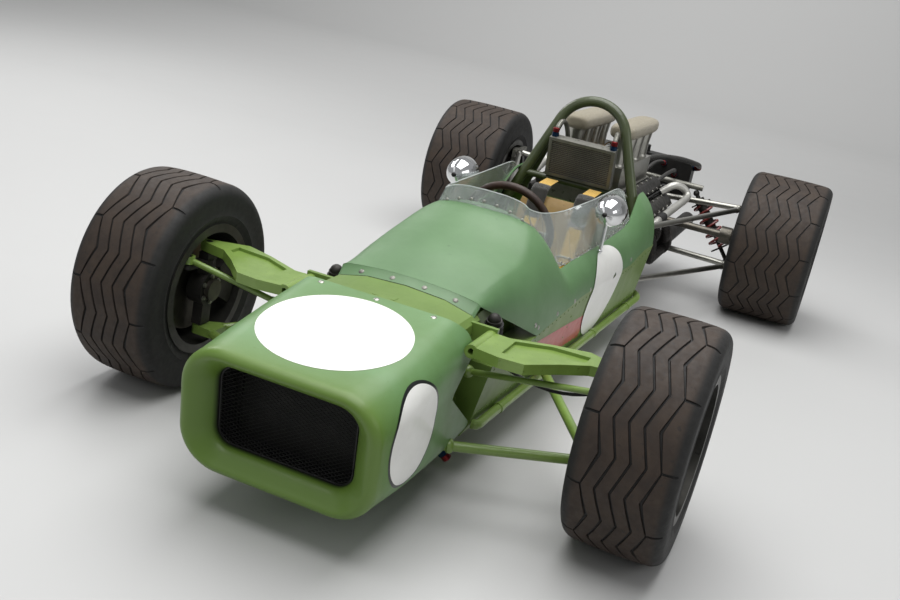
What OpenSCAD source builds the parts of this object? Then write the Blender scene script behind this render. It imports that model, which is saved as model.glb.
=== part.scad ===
// Open wheel racing car: a single seater with a riveted tub, inboard front springs and an open V8 engine.
// +X points forward, +Y to the car's left, +Z up, and the ground is at z = 0.
// Lengths are measured from the front axle, and "aft" counts backwards from it.
// place() then centres the car on x = 0.

/* [Overall] */
// Distance between the front and rear axles
wheelbase = 2400; // [2300:10:2500]
// Distance between the middles of the front tyres
front_track = 1350; // [1300:10:1400]
// Distance between the middles of the rear tyres
rear_track = 1400; // [1360:10:1460]
// Reach of the nose ahead of the front axle
nose_reach = 590; // [560:5:640]
// Reach of the gearbox behind the rear axle
tail_reach = 500; // [460:10:560]

/* [Tyres and rims] */
// Outer diameter of a front tyre
front_tyre_d = 580; // [570:2:600]
// Width of a front tyre
front_tyre_w = 243; // [235:1:255]
// Outer diameter of a rear tyre
rear_tyre_d = 616; // [606:2:640]
// Width of a rear tyre
rear_tyre_w = 330; // [318:1:345]
// Diameter of the bead seat of every rim
rim_seat_d = 330; // [326:1:336]
// Height of the rim flange over the bead seat
rim_flange_h = 17; // [14:1:20]
// Wall of the rim barrel
rim_wall = 7; // [5:0.5:9]
// Width that the rim is narrower than its tyre on each side
rim_inset = 5; // [4:1:10]
// Radius of a tyre's shoulder
shoulder_r = 34; // [26:1:40]
// Number of round holes in a rim's web
rim_holes = 8; // [6:1:9]

/* [Hubs and brakes] */
// Diameter of a brake disc
disc_d = 256; // [240:2:262]
// Thickness of a brake disc
disc_t = 12; // [9:0.5:14]
// Diameter of a stub axle
stub_d = 40; // [34:1:44]
// Inset of the kingpin from the middle of the front tyre
kingpin_inset = 100; // [96:1:104]
// Height of the ball joints above and below the front axle
ball_rise = 118; // [110:1:122]
// Length of the steering arm ahead of the kingpin
steer_arm = 88; // [80:1:92]
// Running clearance of shafts and pins
run_gap = 0.3; // [0.2:0.05:0.5]

/* [Body] */
// Thickness of the moulded nose and cowl
skin = 5; // [4:0.5:7]
// Height of the tub's floor above the ground
floor_z = 92; // [84:1:100]
// Thickness of the tub's floor
floor_t = 20; // [14:1:26]
// Thickness of the tub's side boxes
side_box = 75; // [60:1:85]
// Half width of the tub at the front axle, at the height of the side pipes
tub_half_front = 226; // [220:1:232]
// Half width of the tub at its rear end, at the height of the side pipes
tub_half_rear = 286; // [280:1:294]
// Lean of the tub's sides, from the pipes up to the cowl
side_flare = 30; // [22:1:34]
// Length of the tub behind the front axle
tub_aft = 1600; // [1580:5:1620]
// Half width of the air intake's lip
lip_half = 240; // [230:1:250]
// Thickness of the clear screen
screen_t = 4; // [3:0.5:5]

/* [Cockpit] */
// Diameter of the steering wheel
wheel_d = 300; // [280:5:320]
// Thickness of the steering wheel's grip
grip_d = 26; // [22:1:30]
// Tube diameter of the roll hoop
hoop_d = 38; // [34:1:42]
// Width of the seat
seat_w = 300; // [280:2:312]
// Thickness of the seat's padding
seat_t = 40; // [30:1:50]
// Diameter of a mirror
mirror_d = 104; // [90:1:110]

/* [Engine and suspension] */
// Distance between neighbouring trumpets
trumpet_pitch = 132; // [126:1:136]
// Diameter of a trumpet's mouth
trumpet_d = 92; // [80:1:98]
// Diameter of the wishbones' tubes
arm_d = 26; // [22:1:28]
// Diameter of the rear links' tubes
link_d = 22; // [18:1:24]
// Diameter of the side water pipes
pipe_d = 26; // [22:1:28]
// Number of turns in a rear spring
spring_turns = 6; // [5:1:7]
// Diameter of a rear spring's wire
spring_wire = 12; // [10:0.5:13]

/* [Hidden] */
$fn = 48;

// Shift that puts the middle of the car's length on x = 0
front_axle_x = (wheelbase + tail_reach - nose_reach) / 2;
left = 1;
right = -1;
// Cylinders in each bank
trumpets = 4;
seat_gap = 0.3;

// Wheel centres on the left side
front_hub = [0, front_track / 2, front_tyre_d / 2];
rear_hub = [-wheelbase, rear_track / 2, rear_tyre_d / 2];
front_rim_w = front_tyre_w - 2 * rim_inset;
rear_rim_w = rear_tyre_w - 2 * rim_inset;
seat_r = rim_seat_d / 2;
flange_r = seat_r + rim_flange_h;
barrel_r = seat_r - rim_wall;
// Width of a rim's flange along the axle
rim_lip = 8;
stub_r = stub_d / 2;
disc_r = disc_d / 2;

// Front upright: kingpin line, ball joints and the faces along the stub axle
kingpin_y = front_hub.y - kingpin_inset;
upper_ball = [0, kingpin_y, front_hub.z + ball_rise];
lower_ball = [0, kingpin_y, front_hub.z - ball_rise];
ball_pin_r = 9;
ball_eye_h = 26;
carrier_r = 46;
carrier_in = kingpin_y - 20;
carrier_out = kingpin_y + 26;
disc_in = carrier_out + 10;
hub_face = disc_in + 30;
caliper_gap = 6;
caliper_angle = 30;

// Rear upright and shaft faces along the rear axle
rear_carrier_in = rear_hub.y - rear_rim_w / 2 - 20;
rear_carrier_out = rear_carrier_in + 66;
rear_disc_in = rear_carrier_out + 10;
rear_hub_face = rear_disc_in + 30;
output_y = 112;
rear_ball_rise = 128;
rear_ball_y = rear_carrier_in - 14;

// Steering: rack ends, tie rod ends and the wheel's column
rack_place = [33, 212, 312];
rack_r = 12;
tie_rod_r = 8;
tie_end = [steer_arm, kingpin_y, front_hub.z + 97];
tie_eye_r = 9.6;
tie_pin_r = 6;
wheel_centre = [-760, 0, 492];
column_tilt = 15;
column_r = 11;

// Tub: height of the side pipes, and the seam with the cowl in columns aft, height
pipe_z = 145;
seam_line = [[355, 316], [505, 328], [735, 347], [1000, 346], [1300, 341], [1470, 366], [1700, 366]];

function lerp(a, b, t) = a + (b - a) * t;
function unit(v) = v / norm(v);
// Values of a row between the rows of a table whose first column rises
function between(table, key, col) = lookup(key, [for (row = table) [row[0], row[col]]]);

// Moves the car so that its box is centred on x = 0
module place() {
  translate([front_axle_x, 0, 0]) children();
}

// Both sides of the car
module both() {
  children();
  mirror([0, 1, 0]) children();
}

// Turns a left hand piece into the one for a side
module on_side(side) {
  if (side == left) children();
  else mirror([0, 1, 0]) children();
}

// Round bar between two points
module bar(a, b, r) {
  v = b - a;
  translate(a)
    rotate([0, acos(v.z / norm(v)), atan2(v.y, v.x)])
      cylinder(h = norm(v), r = r);
}

// Rod with a ball at each end
module rod(a, b, r, end_r) {
  bar(a, b, r);
  translate(a) sphere(r = end_r);
  translate(b) sphere(r = end_r);
}

// Cylinder along the axle from y0 to y1
module axle_bar(r, y0, y1) {
  translate([0, y0, 0]) rotate([-90, 0, 0]) cylinder(h = y1 - y0, r = r);
}

// Profile of radius and offset, turned about the axle
module turned(profile) {
  rotate([-90, 0, 0]) rotate_extrude($fn = 72) polygon(profile);
}

// Faces of a closed tube of rings, each with count points, ends capped
function ring_faces(rings, count) = concat(
  [[for (j = [0 : count - 1]) j]],
  [for (i = [0 : rings - 2], j = [0 : count - 1])
    let (a = i * count + j, b = i * count + (j + 1) % count)
      [a, a + count, b]],
  [for (i = [0 : rings - 2], j = [0 : count - 1])
    let (a = i * count + j, b = i * count + (j + 1) % count)
      [b, a + count, b + count]],
  [[for (j = [count - 1 : -1 : 0]) (rings - 1) * count + j]]
);

// Solid through a list of rings
module loft(rings) {
  polyhedron(
    points = [for (ring = rings) each ring],
    faces = ring_faces(len(rings), len(rings[0]))
  );
}

// Direction of a path at one of its points
function heading(path, i) = unit(path[min(i + 1, len(path) - 1)] - path[max(i - 1, 0)]);

// Ring of a tube round a path point, square to the path
function tube_ring(path, i, r, sides, up) =
  let (t = heading(path, i), u = unit(cross(t, up)), v = cross(t, u))
    [for (k = [0 : sides - 1]) path[i] + r * (u * cos(360 * k / sides) + v * sin(360 * k / sides))];

// Tube along a path that never runs along up
module tube(path, r, sides = 10, up = [0, 0, 1]) {
  loft([for (i = [0 : len(path) - 1]) tube_ring(path, i, r, sides, up)]);
}

// Smooth points through three or four corner points of a bend
function bend(a, b, c, d, steps) = [
  for (k = [0 : steps])
    let (t = k / steps, s = 1 - t)
      s * s * s * a + 3 * s * s * t * b + 3 * s * t * t * c + t * t * t * d
];

// Tyres and rims

// Half section of a tyre as radius and offset, from one bead over the tread to the other
function tyre_side(od, w) =
  let (
    R = od / 2,
    h = w / 2,
    bead = h - rim_inset - rim_lip - seat_gap - 0.2,
    crown_drop = 3,
    corner = [R - shoulder_r, h - shoulder_r]
  )
    concat(
      [[seat_r + seat_gap, bead], [flange_r + 6, bead]],
      [[flange_r + 20, h - 1.5], [lerp(flange_r, R, 0.55), h]],
      [for (a = [10 : 20 : 90]) corner + [(shoulder_r - crown_drop) * sin(a), shoulder_r * cos(a)]]
    );

function tyre_profile(od, w) =
  let (half = tyre_side(od, w), last = len(half) - 1)
    concat(half, [[od / 2, 0]], [for (i = [last : -1 : 0]) [half[i][0], -half[i][1]]]);

module tyre(side, hub, od, w) {
  color("#2b2522") on_side(side) translate(hub) turned(tyre_profile(od, w));
}

// Barrel section: two flanges and the bead seats
function barrel_profile(w) =
  let (h = w / 2, f = rim_lip)
    [
      [barrel_r, -h], [flange_r, -h], [flange_r, -h + f], [seat_r, -h + f],
      [seat_r, h - f], [flange_r, h - f], [flange_r, h], [barrel_r + 2, h]
    ];

// Cast web between the hub and the barrel, dished outwards, with a ring of round holes
module rim(side, hub, w, face) {
  web_t = 16;
  hub_r = 58;
  dish = 34;
  hole_r = 23;
  hole_at = (hub_r + barrel_r) / 2;
  boss = 12;
  nut = [34, 26];
  f = face - hub.y;
  front = f + web_t + boss;
  color("#4a4a48") on_side(side) translate(hub) {
    difference() {
      union() {
        turned(barrel_profile(w));
        turned([[0, f], [hub_r, f], [barrel_r + 4, f + dish], [barrel_r + 4, f + dish + web_t],
          [hub_r, front], [0, front]]);
      }
      for (k = [0 : rim_holes - 1])
        rotate([0, k * 360 / rim_holes, 0])
          translate([hole_at, 0, 0])
            axle_bar(hole_r, f - 5, f + dish + web_t + 20);
    }
    translate([0, front, 0]) rotate([-90, 0, 0]) cylinder(h = nut.y, r = nut.x, $fn = 6);
    axle_bar(stub_r * 0.7, front + nut.y - 8, front + nut.y + 18);
  }
}

// Hubs, brakes and uprights

// Brake disc with its bell, inside face at y0, out to the wheel's mounting face
module brake_disc(y0, face) {
  bell_r = 64;
  axle_bar(disc_r, y0, y0 + disc_t);
  axle_bar(bell_r, y0, face);
}

// Caliper section: a jaw over the disc's edge, as radius and offset
function caliper_section(y0) =
  let (
    inner = disc_r - 46,
    root = disc_r + 6,
    outer = min(disc_r + 22, barrel_r - 6),
    back = 28,
    front = 14,
    y1 = y0 - caliper_gap,
    y2 = y0 + disc_t + caliper_gap
  )
    [[inner, y1 - back], [outer, y1 - back], [outer, y2 + front], [inner, y2 + front],
      [inner, y2], [root, y2], [root, y1], [inner, y1]];

// Caliper behind the axle, with the foot that bolts it to a carrier
module caliper(y0, r) {
  sweep = 2 * caliper_angle;
  foot = 15;
  y1 = y0 - caliper_gap;
  rotate([0, 180 - caliper_angle, 0])
    rotate([-90, 0, 0]) rotate_extrude(angle = sweep) polygon(caliper_section(y0));
  rotate([0, 180 - foot, 0])
    rotate([-90, 0, 0]) rotate_extrude(angle = 2 * foot)
      polygon([[r - 6, y1 - 26], [disc_r - 40, y1 - 26], [disc_r - 40, y1 - 12], [r - 6, y1 - 12]]);
}

module disc_front(side) {
  nut_r = 30;
  stub_in = carrier_in - 14;
  color("#6b6a66") on_side(side) translate([front_hub.x, 0, front_hub.z]) {
    brake_disc(disc_in, hub_face);
    axle_bar(stub_r, stub_in, hub_face);
    axle_bar(nut_r, stub_in, carrier_in - run_gap);
  }
}

// Upright that turns on the kingpin line: carrier, post, ball pins, steering arm and caliper
module upright(side) {
  post = [40, 30];
  post_z = ball_rise - ball_eye_h / 2 - 3;
  arm_z = tie_end.z - 26;
  arm_t = 12;
  arm_root = 18;
  arm_tip = 14;
  color("#3d3b38") on_side(side) translate([front_hub.x, 0, 0]) difference() {
    union() {
      translate([0, 0, front_hub.z]) {
        axle_bar(carrier_r, carrier_in, carrier_out);
        caliper(disc_in, carrier_r);
      }
      translate([-post.x / 2, kingpin_y - post.y / 2, front_hub.z - post_z])
        cube([post.x, post.y, 2 * post_z]);
      bar(lower_ball - [0, 0, ball_eye_h / 2], upper_ball + [0, 0, ball_eye_h / 2], ball_pin_r);
      hull() {
        translate([0, kingpin_y, arm_z]) cylinder(h = arm_t, r = arm_root, $fn = 32);
        translate([tie_end.x, tie_end.y, arm_z]) cylinder(h = arm_t, r = arm_tip, $fn = 32);
      }
      translate([tie_end.x, tie_end.y, arm_z]) cylinder(h = tie_end.z - arm_z + 14, r = tie_pin_r);
    }
    translate([0, 0, front_hub.z]) axle_bar(stub_r + run_gap, carrier_in - 1, carrier_out + 1);
  }
}

module rear_uprights() {
  post_w = 44;
  ear = [166, 14, 34];
  ear_back = 106;
  post_t = 26;
  post_z = rear_ball_rise + ear.z / 2;
  carrier = 56;
  color("#8d8c88") both() translate([rear_hub.x, 0, rear_hub.z]) difference() {
    union() {
      axle_bar(carrier, rear_carrier_in, rear_carrier_out);
      caliper(rear_disc_in, carrier);
      translate([-post_w / 2, rear_carrier_in, -post_z]) cube([post_w, post_t, 2 * post_z]);
      for (z = [-rear_ball_rise, rear_ball_rise])
        translate([-ear_back, rear_carrier_in, z - ear.z / 2]) cube(ear);
    }
    axle_bar(stub_r + run_gap, rear_carrier_in - 1, rear_carrier_out + 1);
  }
}

// Stub axle, disc and half shaft with its two joints, all turning with a rear wheel
module half_shaft(side) {
  joint_r = 38;
  joint_l = 48;
  shaft_r = 16;
  y0 = output_y + run_gap;
  y1 = rear_carrier_in - 12;
  color("#55534f") on_side(side) translate([rear_hub.x, 0, rear_hub.z]) {
    brake_disc(rear_disc_in, rear_hub_face);
    axle_bar(stub_r, y1, rear_hub_face);
    axle_bar(joint_r, y1 - joint_l, y1);
    axle_bar(shaft_r, y0 + joint_l, y1 - joint_l);
    axle_bar(joint_r, y0, y0 + joint_l);
  }
}

// Front suspension

eye_r = 15;
front_pickup = [145, 205, 150];
rear_pickup_aft = 480;
rear_pickup_z = 192;
rear_pickup_y = tub_side(rear_pickup_aft, rear_pickup_z) + eye_r + seat_gap + 0.3;
rear_pickup = [-rear_pickup_aft, rear_pickup_y, rear_pickup_z];
pivot_y = 252;
pivot_x0 = 15;
pivot_x1 = 150;

// Lower wishbone: an outer plate round the ball pin and two round legs to the body
module front_lower_wishbones() {
  inset = 45;
  front_x = 10;
  corner_r = arm_d / 2;
  eye_wall = 20;
  knee = lower_ball + [-inset, -inset, 0];
  z0 = lower_ball.z - ball_eye_h / 2;
  color("#6f8f3c") both() {
    difference() {
      hull() {
        translate([lower_ball.x, lower_ball.y, z0]) cylinder(h = ball_eye_h, r = eye_wall, $fn = 32);
        translate([knee.x, knee.y, z0 + 2]) cylinder(h = ball_eye_h - 4, r = corner_r, $fn = 32);
        translate([front_x, knee.y, z0 + 2]) cylinder(h = ball_eye_h - 4, r = corner_r, $fn = 32);
      }
      translate([lower_ball.x, lower_ball.y, z0 - 1])
        cylinder(h = ball_eye_h + 2, r = ball_pin_r + run_gap);
    }
    bar(lower_ball + [front_x, -inset, 0], front_pickup, arm_d / 2);
    translate(front_pickup) sphere(r = eye_r);
    bar(knee, rear_pickup, arm_d / 2);
    translate(rear_pickup) sphere(r = eye_r);
  }
}

// Upper rocker arm in plan: swept forward at its waist, narrow at the ball pin
function rocker_plan() = let (k = kingpin_y)
  [[pivot_x0, pivot_y], [pivot_x1, pivot_y], [pivot_x1 + 14, 325], [pivot_x1 + 8, 385], [87, 449],
    [32, k - 66], [20, k - 12], [12, k + 18], [-12, k + 18], [-22, k - 8], [-58, k - 90],
    [-30, 400], [18, 300]];

// Pocket on both faces of the rocker arm, inside its ribs
function rocker_pocket() = let (out = kingpin_y - 80)
  [[28, 318], [128, 318], [128, 372], [68, 432], [20, out], [-22, out], [-14, 400]];

module front_upper_arms() {
  arm_t = 24;
  rib = 5;
  tube_r = 17;
  pin_r = 8;
  color("#79993f") both() difference() {
    union() {
      translate([0, 0, upper_ball.z - ball_eye_h / 2]) linear_extrude(ball_eye_h) difference() {
        polygon(rocker_plan());
        polygon(rocker_pocket());
      }
      translate([0, 0, upper_ball.z - rib]) linear_extrude(2 * rib) polygon(rocker_plan());
      bar([pivot_x0, pivot_y, upper_ball.z], [pivot_x1, pivot_y, upper_ball.z], tube_r);
    }
    translate([upper_ball.x, upper_ball.y, upper_ball.z - arm_t])
      cylinder(h = 2 * arm_t, r = ball_pin_r + run_gap);
    bar([pivot_x0 - 1, pivot_y, upper_ball.z], [pivot_x1 + 1, pivot_y, upper_ball.z], pin_r);
  }
}

// Rear suspension

rod_eye = 14;
upper_rod_front = [-tub_aft - rod_eye - seat_gap, 282, 424];
lower_rod_front = [-tub_aft - rod_eye - seat_gap, 282, 215];
ear_reach = 45;
upper_rod_rear = [rear_hub.x + ear_reach, rear_ball_y - seat_gap, rear_hub.z + rear_ball_rise];
lower_rod_rear = [rear_hub.x + ear_reach, rear_ball_y - seat_gap, rear_hub.z - rear_ball_rise];
cross_aft = wheelbase + 55;
cross_half = 150;
cross_t = 26;
top_link_in = [-cross_aft, cross_half + rod_eye + seat_gap, 402];
low_link_in = [-cross_aft, cross_half + rod_eye + seat_gap, 176];
top_link_out = [rear_hub.x - 14, rear_ball_y - seat_gap, rear_hub.z + rear_ball_rise];
low_link_out = [rear_hub.x - 14, rear_ball_y - seat_gap, rear_hub.z - rear_ball_rise];
damper_top = [-cross_aft - 60, 300, 436];
damper_foot = [rear_hub.x - 90, rear_ball_y - seat_gap, rear_hub.z - rear_ball_rise];

// Two radius rods, a top link and a lower link on each side
module rear_links() {
  color("#a9a89f") both() {
    rod(upper_rod_front, upper_rod_rear, link_d / 2, rod_eye);
    rod(lower_rod_front, lower_rod_rear, link_d / 2, rod_eye);
    rod(top_link_in, top_link_out, link_d / 2 + 2, rod_eye);
    rod(low_link_in, low_link_out, link_d / 2 + 2, rod_eye);
  }
}

// Coil-over unit between two points: damper body, rod, eyes and two spring seats
module coil_over(top, foot, seat_r0, lower_at, upper_at) {
  rod_r = 9;
  body_r = 22;
  body_from = lerp(top, foot, 0.08);
  body_to = lerp(top, foot, 0.55);
  seat_t0 = 6;
  axis = unit(foot - top);
  upper_seat = lerp(top, foot, upper_at);
  lower_seat = lerp(top, foot, lower_at);
  rod(top, foot, rod_r, rod_eye);
  bar(body_from, body_to, body_r);
  bar(upper_seat - axis * seat_t0, upper_seat, seat_r0);
  bar(lower_seat, lower_seat + axis * seat_t0, seat_r0);
}

// Wound wire spring between the two seats of a coil-over
module coil(top, foot, radius, wire_r, turns, lower_at, upper_at) {
  per_turn = 12;
  sides = 6;
  axis = unit(foot - top);
  v = unit(cross(axis, [1, 0, 0]));
  u = cross(v, axis);
  a = lerp(top, foot, upper_at) + axis * (wire_r + seat_gap);
  b = lerp(top, foot, lower_at) - axis * (wire_r + seat_gap);
  path = [for (k = [0 : turns * per_turn])
    lerp(a, b, k / (turns * per_turn))
      + radius * (u * cos(360 * k / per_turn) + v * sin(360 * k / per_turn))];
  tube(path, wire_r, sides, axis);
}

rear_seat_r = 44;
rear_spring_r = 37;
front_damper_top = [-70, 226, 424];
front_damper_foot = [-96, 226, 342];
rear_upper_at = 0.16;
rear_lower_at = 0.80;

module dampers() {
  body_r = 20;
  end_r = 17;
  stand_r = 14;
  stand_z = seam_z(-front_damper_foot.x);
  color("#b08d3c") both() {
    coil_over(damper_top, damper_foot, rear_seat_r, rear_lower_at, rear_upper_at);
    rod(front_damper_top, front_damper_foot, body_r, end_r);
    translate([front_damper_foot.x, front_damper_foot.y, stand_z])
      cylinder(h = front_damper_foot.z - stand_z, r = stand_r);
  }
}

module springs() {
  color("#7c2a24") both()
    coil(damper_top, damper_foot, rear_spring_r, spring_wire / 2, spring_turns, rear_lower_at, rear_upper_at);
}

// Tub

bulkhead_front = front_pickup.x - eye_r - seat_gap;
bulkhead_aft = 36;

function seam_z(aft) = lookup(aft, seam_line);
// Half width of the tub at the height of the side pipes
function tub_half(aft) = lerp(tub_half_front, tub_half_rear, aft / tub_aft);
// Half width of the tub at a height between the pipes and the seam
function tub_side(aft, z) = tub_half(aft) + side_flare * (z - pipe_z) / (seam_z(aft) - pipe_z);

// Open trough section at a distance aft: outer left side, floor, right side, then the inner walls
function tub_ring(aft) =
  let (
    h = tub_half(aft),
    zt = seam_z(aft),
    top = h + side_flare,
    inner = h - side_box,
    deck = floor_z + floor_t,
    half = [[top, zt], [h, pipe_z], [h - 18, floor_z + 16], [h - 52, floor_z]],
    well = [[inner - 24, deck], [inner, deck + 26], [top - side_box, zt]]
  )
    [for (p = concat(half, [for (i = [3 : -1 : 0]) [-half[i][0], half[i][1]]],
      [for (i = [2 : -1 : 0]) [-well[i][0], well[i][1]]], well)) [-aft, p[0], p[1]]];

// Outline of the closed front box, with a recess for the steering and springs on each side
function bulkhead_half() = [
  [0, 461], [110, 455], [186, 437], [200, 424], [206, 346],
  [165, 334], [165, 216], [180, 204], [180, 140], [164, 126]
];

module across(points, x0, x1) {
  translate([x0, 0, 0]) rotate([90, 0, 90]) linear_extrude(x1 - x0)
    polygon(concat(points, [for (i = [len(points) - 1 : -1 : 0]) [-points[i].x, points[i].y]]));
}

module tub() {
  flange_half = 206;
  flange_t = 10;
  plate_t = 10;
  wall_y = 181;
  wall_t = 7;
  rack_room = 3;
  // Ear at the rear end of the rocker arm's pivot
  ear_t = 13;
  ear_in = 190;
  ear_past = 14;
  ear_h = 44;
  color("#7d9a44") {
    loft([for (aft = [bulkhead_aft - 4, 355, 505, 735, 1000, 1300, 1470, tub_aft]) tub_ring(aft)]);
    difference() {
      across(bulkhead_half(), -bulkhead_aft, bulkhead_front);
      translate([rack_place.x, 0, rack_place.z]) axle_bar(rack_r + rack_room, -rack_place.y, rack_place.y);
    }
    across([[0, 300], [flange_half - 24, 300], [flange_half, 262], [flange_half, 150], [180, 126]],
      bulkhead_front - flange_t, bulkhead_front);
    across([[0, 442], [270, 442], [298, seam_z(tub_aft) - 10], [260, 140], [200, 110]],
      -tub_aft, plate_t - tub_aft);
    both() {
      translate([0, wall_y + wall_t, 0]) rotate([90, 0, 0]) linear_extrude(wall_t)
        polygon([[-30, 300], [-30, 428], [-350, 478], [-350, 300]]);
      translate([pivot_x0 - seat_gap - ear_t, ear_in, upper_ball.z - ear_h / 2])
        cube([ear_t, pivot_y + ear_past - ear_in, ear_h]);
    }
    nose_dowel();
  }
}

// Nose

lip_lean = 36;
lip_roll = 15;
// Depth over which the skin turns into the lip
lip_turn = 14;
nose_rear = [[100, -8], [165, -8], [282, 158], [372, 63], [441, 113], [470, 150]];
// Columns: share of the way from lip to rear edge, half width, low, high, corner radius
nose_sections = [
  [0, lip_half, 107, 406, 98], [0.3, lip_half + 5, 102, 424, 90],
  [0.65, lip_half + 4, 102, 446, 80], [1, lip_half - 8, 106, 467, 64]
];
lip_low = nose_sections[0][2];
lip_high = nose_sections[0][3];
// Columns: depth behind the lip's front, half width, low, high, corner radius of the intake duct
duct_sections = [
  [0, lip_half - lip_roll, lip_low + lip_roll, lip_high - lip_roll, 84],
  [10, lip_half - 34, lip_low + 28, lip_high - 28, 72],
  [34, lip_half - 58, lip_low + 52, lip_high - 42, 54], [62, 168, lip_low + 58, lip_high - 48, 40],
  [112, 166, lip_low + 59, lip_high - 49, 36]
];

// Rounded rectangle of half width, low, high and corner radius, with points along its sides
function rounded(half, low, high, r) =
  let (
    step = 15,
    arc = function (y, z, a0) [for (a = [0 : step : 90]) [y + r * cos(a0 + a), z + r * sin(a0 + a)]],
    up = [for (k = [1 : 5]) [half, lerp(low + r, high - r, k / 6)]],
    over = [for (k = [1 : 3]) [lerp(half - r, r - half, k / 4), high]]
  )
    concat(
      up, arc(half - r, high - r, 0), over, arc(r - half, high - r, 90),
      [for (k = [4 : -1 : 0]) [-half, up[k].y]], arc(r - half, low + r, 180),
      [for (k = [2 : -1 : 0]) [over[k].x, low]], arc(half - r, low + r, 270)
    );

// Front of the lip at a height: it leans back at the bottom
function lip_x(z) = nose_reach - lip_lean * (lip_high - lip_roll - z) / (lip_high - lip_low);

// Ring of the nose's wall, inset by a thickness, at a share s of its length
function nose_ring(s, inset) =
  let (
    p = rounded(between(nose_sections, s, 1) - inset, between(nose_sections, s, 2) + inset,
      between(nose_sections, s, 3) - inset, between(nose_sections, s, 4) - inset)
  )
    [for (q = p) [lerp(lip_x(q.y) - lip_turn - inset, lookup(q.y, nose_rear), s), q.x, q.y]];

function duct_ring(row, inset) =
  [for (q = rounded(row[1] + inset, row[2] - inset, row[3] + inset, row[4] + inset))
    [lip_x(q.y) - row[0], q.x, q.y]];

// Closed skin of rings that follow each other round a loop
module loop_skin(rings) {
  m = len(rings);
  n = len(rings[0]);
  polyhedron(
    points = [for (ring = rings) each ring],
    faces = [for (i = [0 : m - 1], j = [0 : n - 1])
      let (
        i1 = (i + 1) % m,
        j1 = (j + 1) % n,
        a = i * n + j,
        b = i * n + j1,
        c = i1 * n + j,
        d = i1 * n + j1
      )
        each [[a, c, b], [b, c, d]]]
  );
}

nose_steps = [0, 0.1, 0.22, 0.36, 0.52, 0.68, 0.84, 1];

module nose_cone() {
  last = len(duct_sections) - 1;
  slot_x = front_pickup.x - 12;
  slot = [84, 40, 44];
  color("#5f8a4e") difference() {
    loop_skin(concat(
      [for (i = [len(nose_steps) - 1 : -1 : 0]) nose_ring(nose_steps[i], 0)],
      [for (row = duct_sections) duct_ring(row, 0)],
      [for (i = [last : -1 : 2]) duct_ring(duct_sections[i], skin)],
      [for (s = nose_steps) nose_ring(s, skin)]
    ));
    for (side = [left, right])
      translate([slot_x, side * lip_half, front_pickup.z]) cube(slot, center = true);
  }
}

// Blocks on the front box that carry the nose's top edge
module nose_dowel() {
  block = [22, 60];
  x = 100;
  root = 440;
  z = nose_top(x + block.x) - skin - seat_gap;
  translate([x, -block.y / 2, root]) cube([block.x, block.y, z - root]);
}

// Height of the nose's top along its middle line
function nose_top(x) =
  let (front = lip_x(lip_high) - lip_turn, rear = lookup(nose_sections[3][3], nose_rear))
    between(nose_sections, (front - x) / (front - rear), 3);

// Intake

mesh_depth = 58;
mesh_t = 4;

// Diamond mesh across the intake, parallel to the leaning lip
module grille_mesh() {
  pitch = 22;
  wire = 5;
  edge = 9;
  row = duct_sections[3];
  lean = atan(lip_lean / (lip_high - lip_low));
  half = row[1] - seat_gap - 0.5;
  mid = (row[2] + row[3]) / 2;
  rise = (row[3] - row[2]) / 2 / cos(lean) - seat_gap - 0.5;
  columns = floor(half / pitch);
  rows = floor(rise / pitch);
  color("#141414")
    translate([lip_x(mid) - mesh_depth, 0, mid]) rotate([0, lean, 0]) rotate([90, 0, 90])
      linear_extrude(mesh_t) difference() {
        polygon(rounded(half, -rise, rise, row[4] - 2));
        for (shift = [0, 0.5], i = [-columns : columns], j = [-rows : rows])
          let (y = (i + shift) * pitch, z = (j + shift) * pitch)
            if (abs(y) < half - edge - pitch / 2 && abs(z) < rise - edge - pitch / 2)
              translate([y, z]) rotate(45) square((pitch - wire) / sqrt(2), center = true);
      }
}

// Water radiator behind the duct, carried by two stays on the front box
module front_radiator() {
  core = [40, 320, 236];
  tank = [core.x + 12, 26, core.z + 8];
  front = 440;
  z0 = 144;
  stay_r = 9;
  stay = [140, 250];
  color("#2a2c2b") {
    translate([front - core.x, -core.y / 2, z0]) cube(core);
    both() {
      translate([front - core.x - 6, core.y / 2, z0 - 4]) cube(tank);
      bar([bulkhead_front + seat_gap, stay.x, stay.y], [front - core.x, stay.x, stay.y], stay_r);
    }
  }
}

// Cowl

// Columns: aft, low edge half width, low edge height, upper edge half width, upper edge height, crown height
cowl_front = [
  [35, 194, 457, 160, 468, 478], [100, 210, 428, 170, 479, 493], [200, 235, 385, 180, 496, 520]
];
// Columns: aft, upper edge half width, upper edge height, crown height of the closed scuttle
cowl_body = [
  [355, 186, 520, 556], [505, 145, 574, 602], [560, 182, 516, 602], [634, 216, 443, 602],
  [735, 227, 446, 602], [1000, 242, 452, 602], [1160, 247, 458, 602], [1300, 250, 464, 602],
  [1380, 249, 482, 602],
  [1470, 240, 534, 602], [1520, 234, 550, 602], [1588, 233, 552, 602]
];
scuttle_aft = 505;
cowl_rows = concat(cowl_front, [for (row = cowl_body)
  [row[0], tub_half(row[0]) + side_flare, seam_z(row[0]) + seat_gap, row[1], row[2], row[3]]]);
side_steps = 6;
crown_steps = 5;

function curve(a, b, c, t) = (1 - t) * (1 - t) * a + 2 * t * (1 - t) * b + t * t * c;

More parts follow.
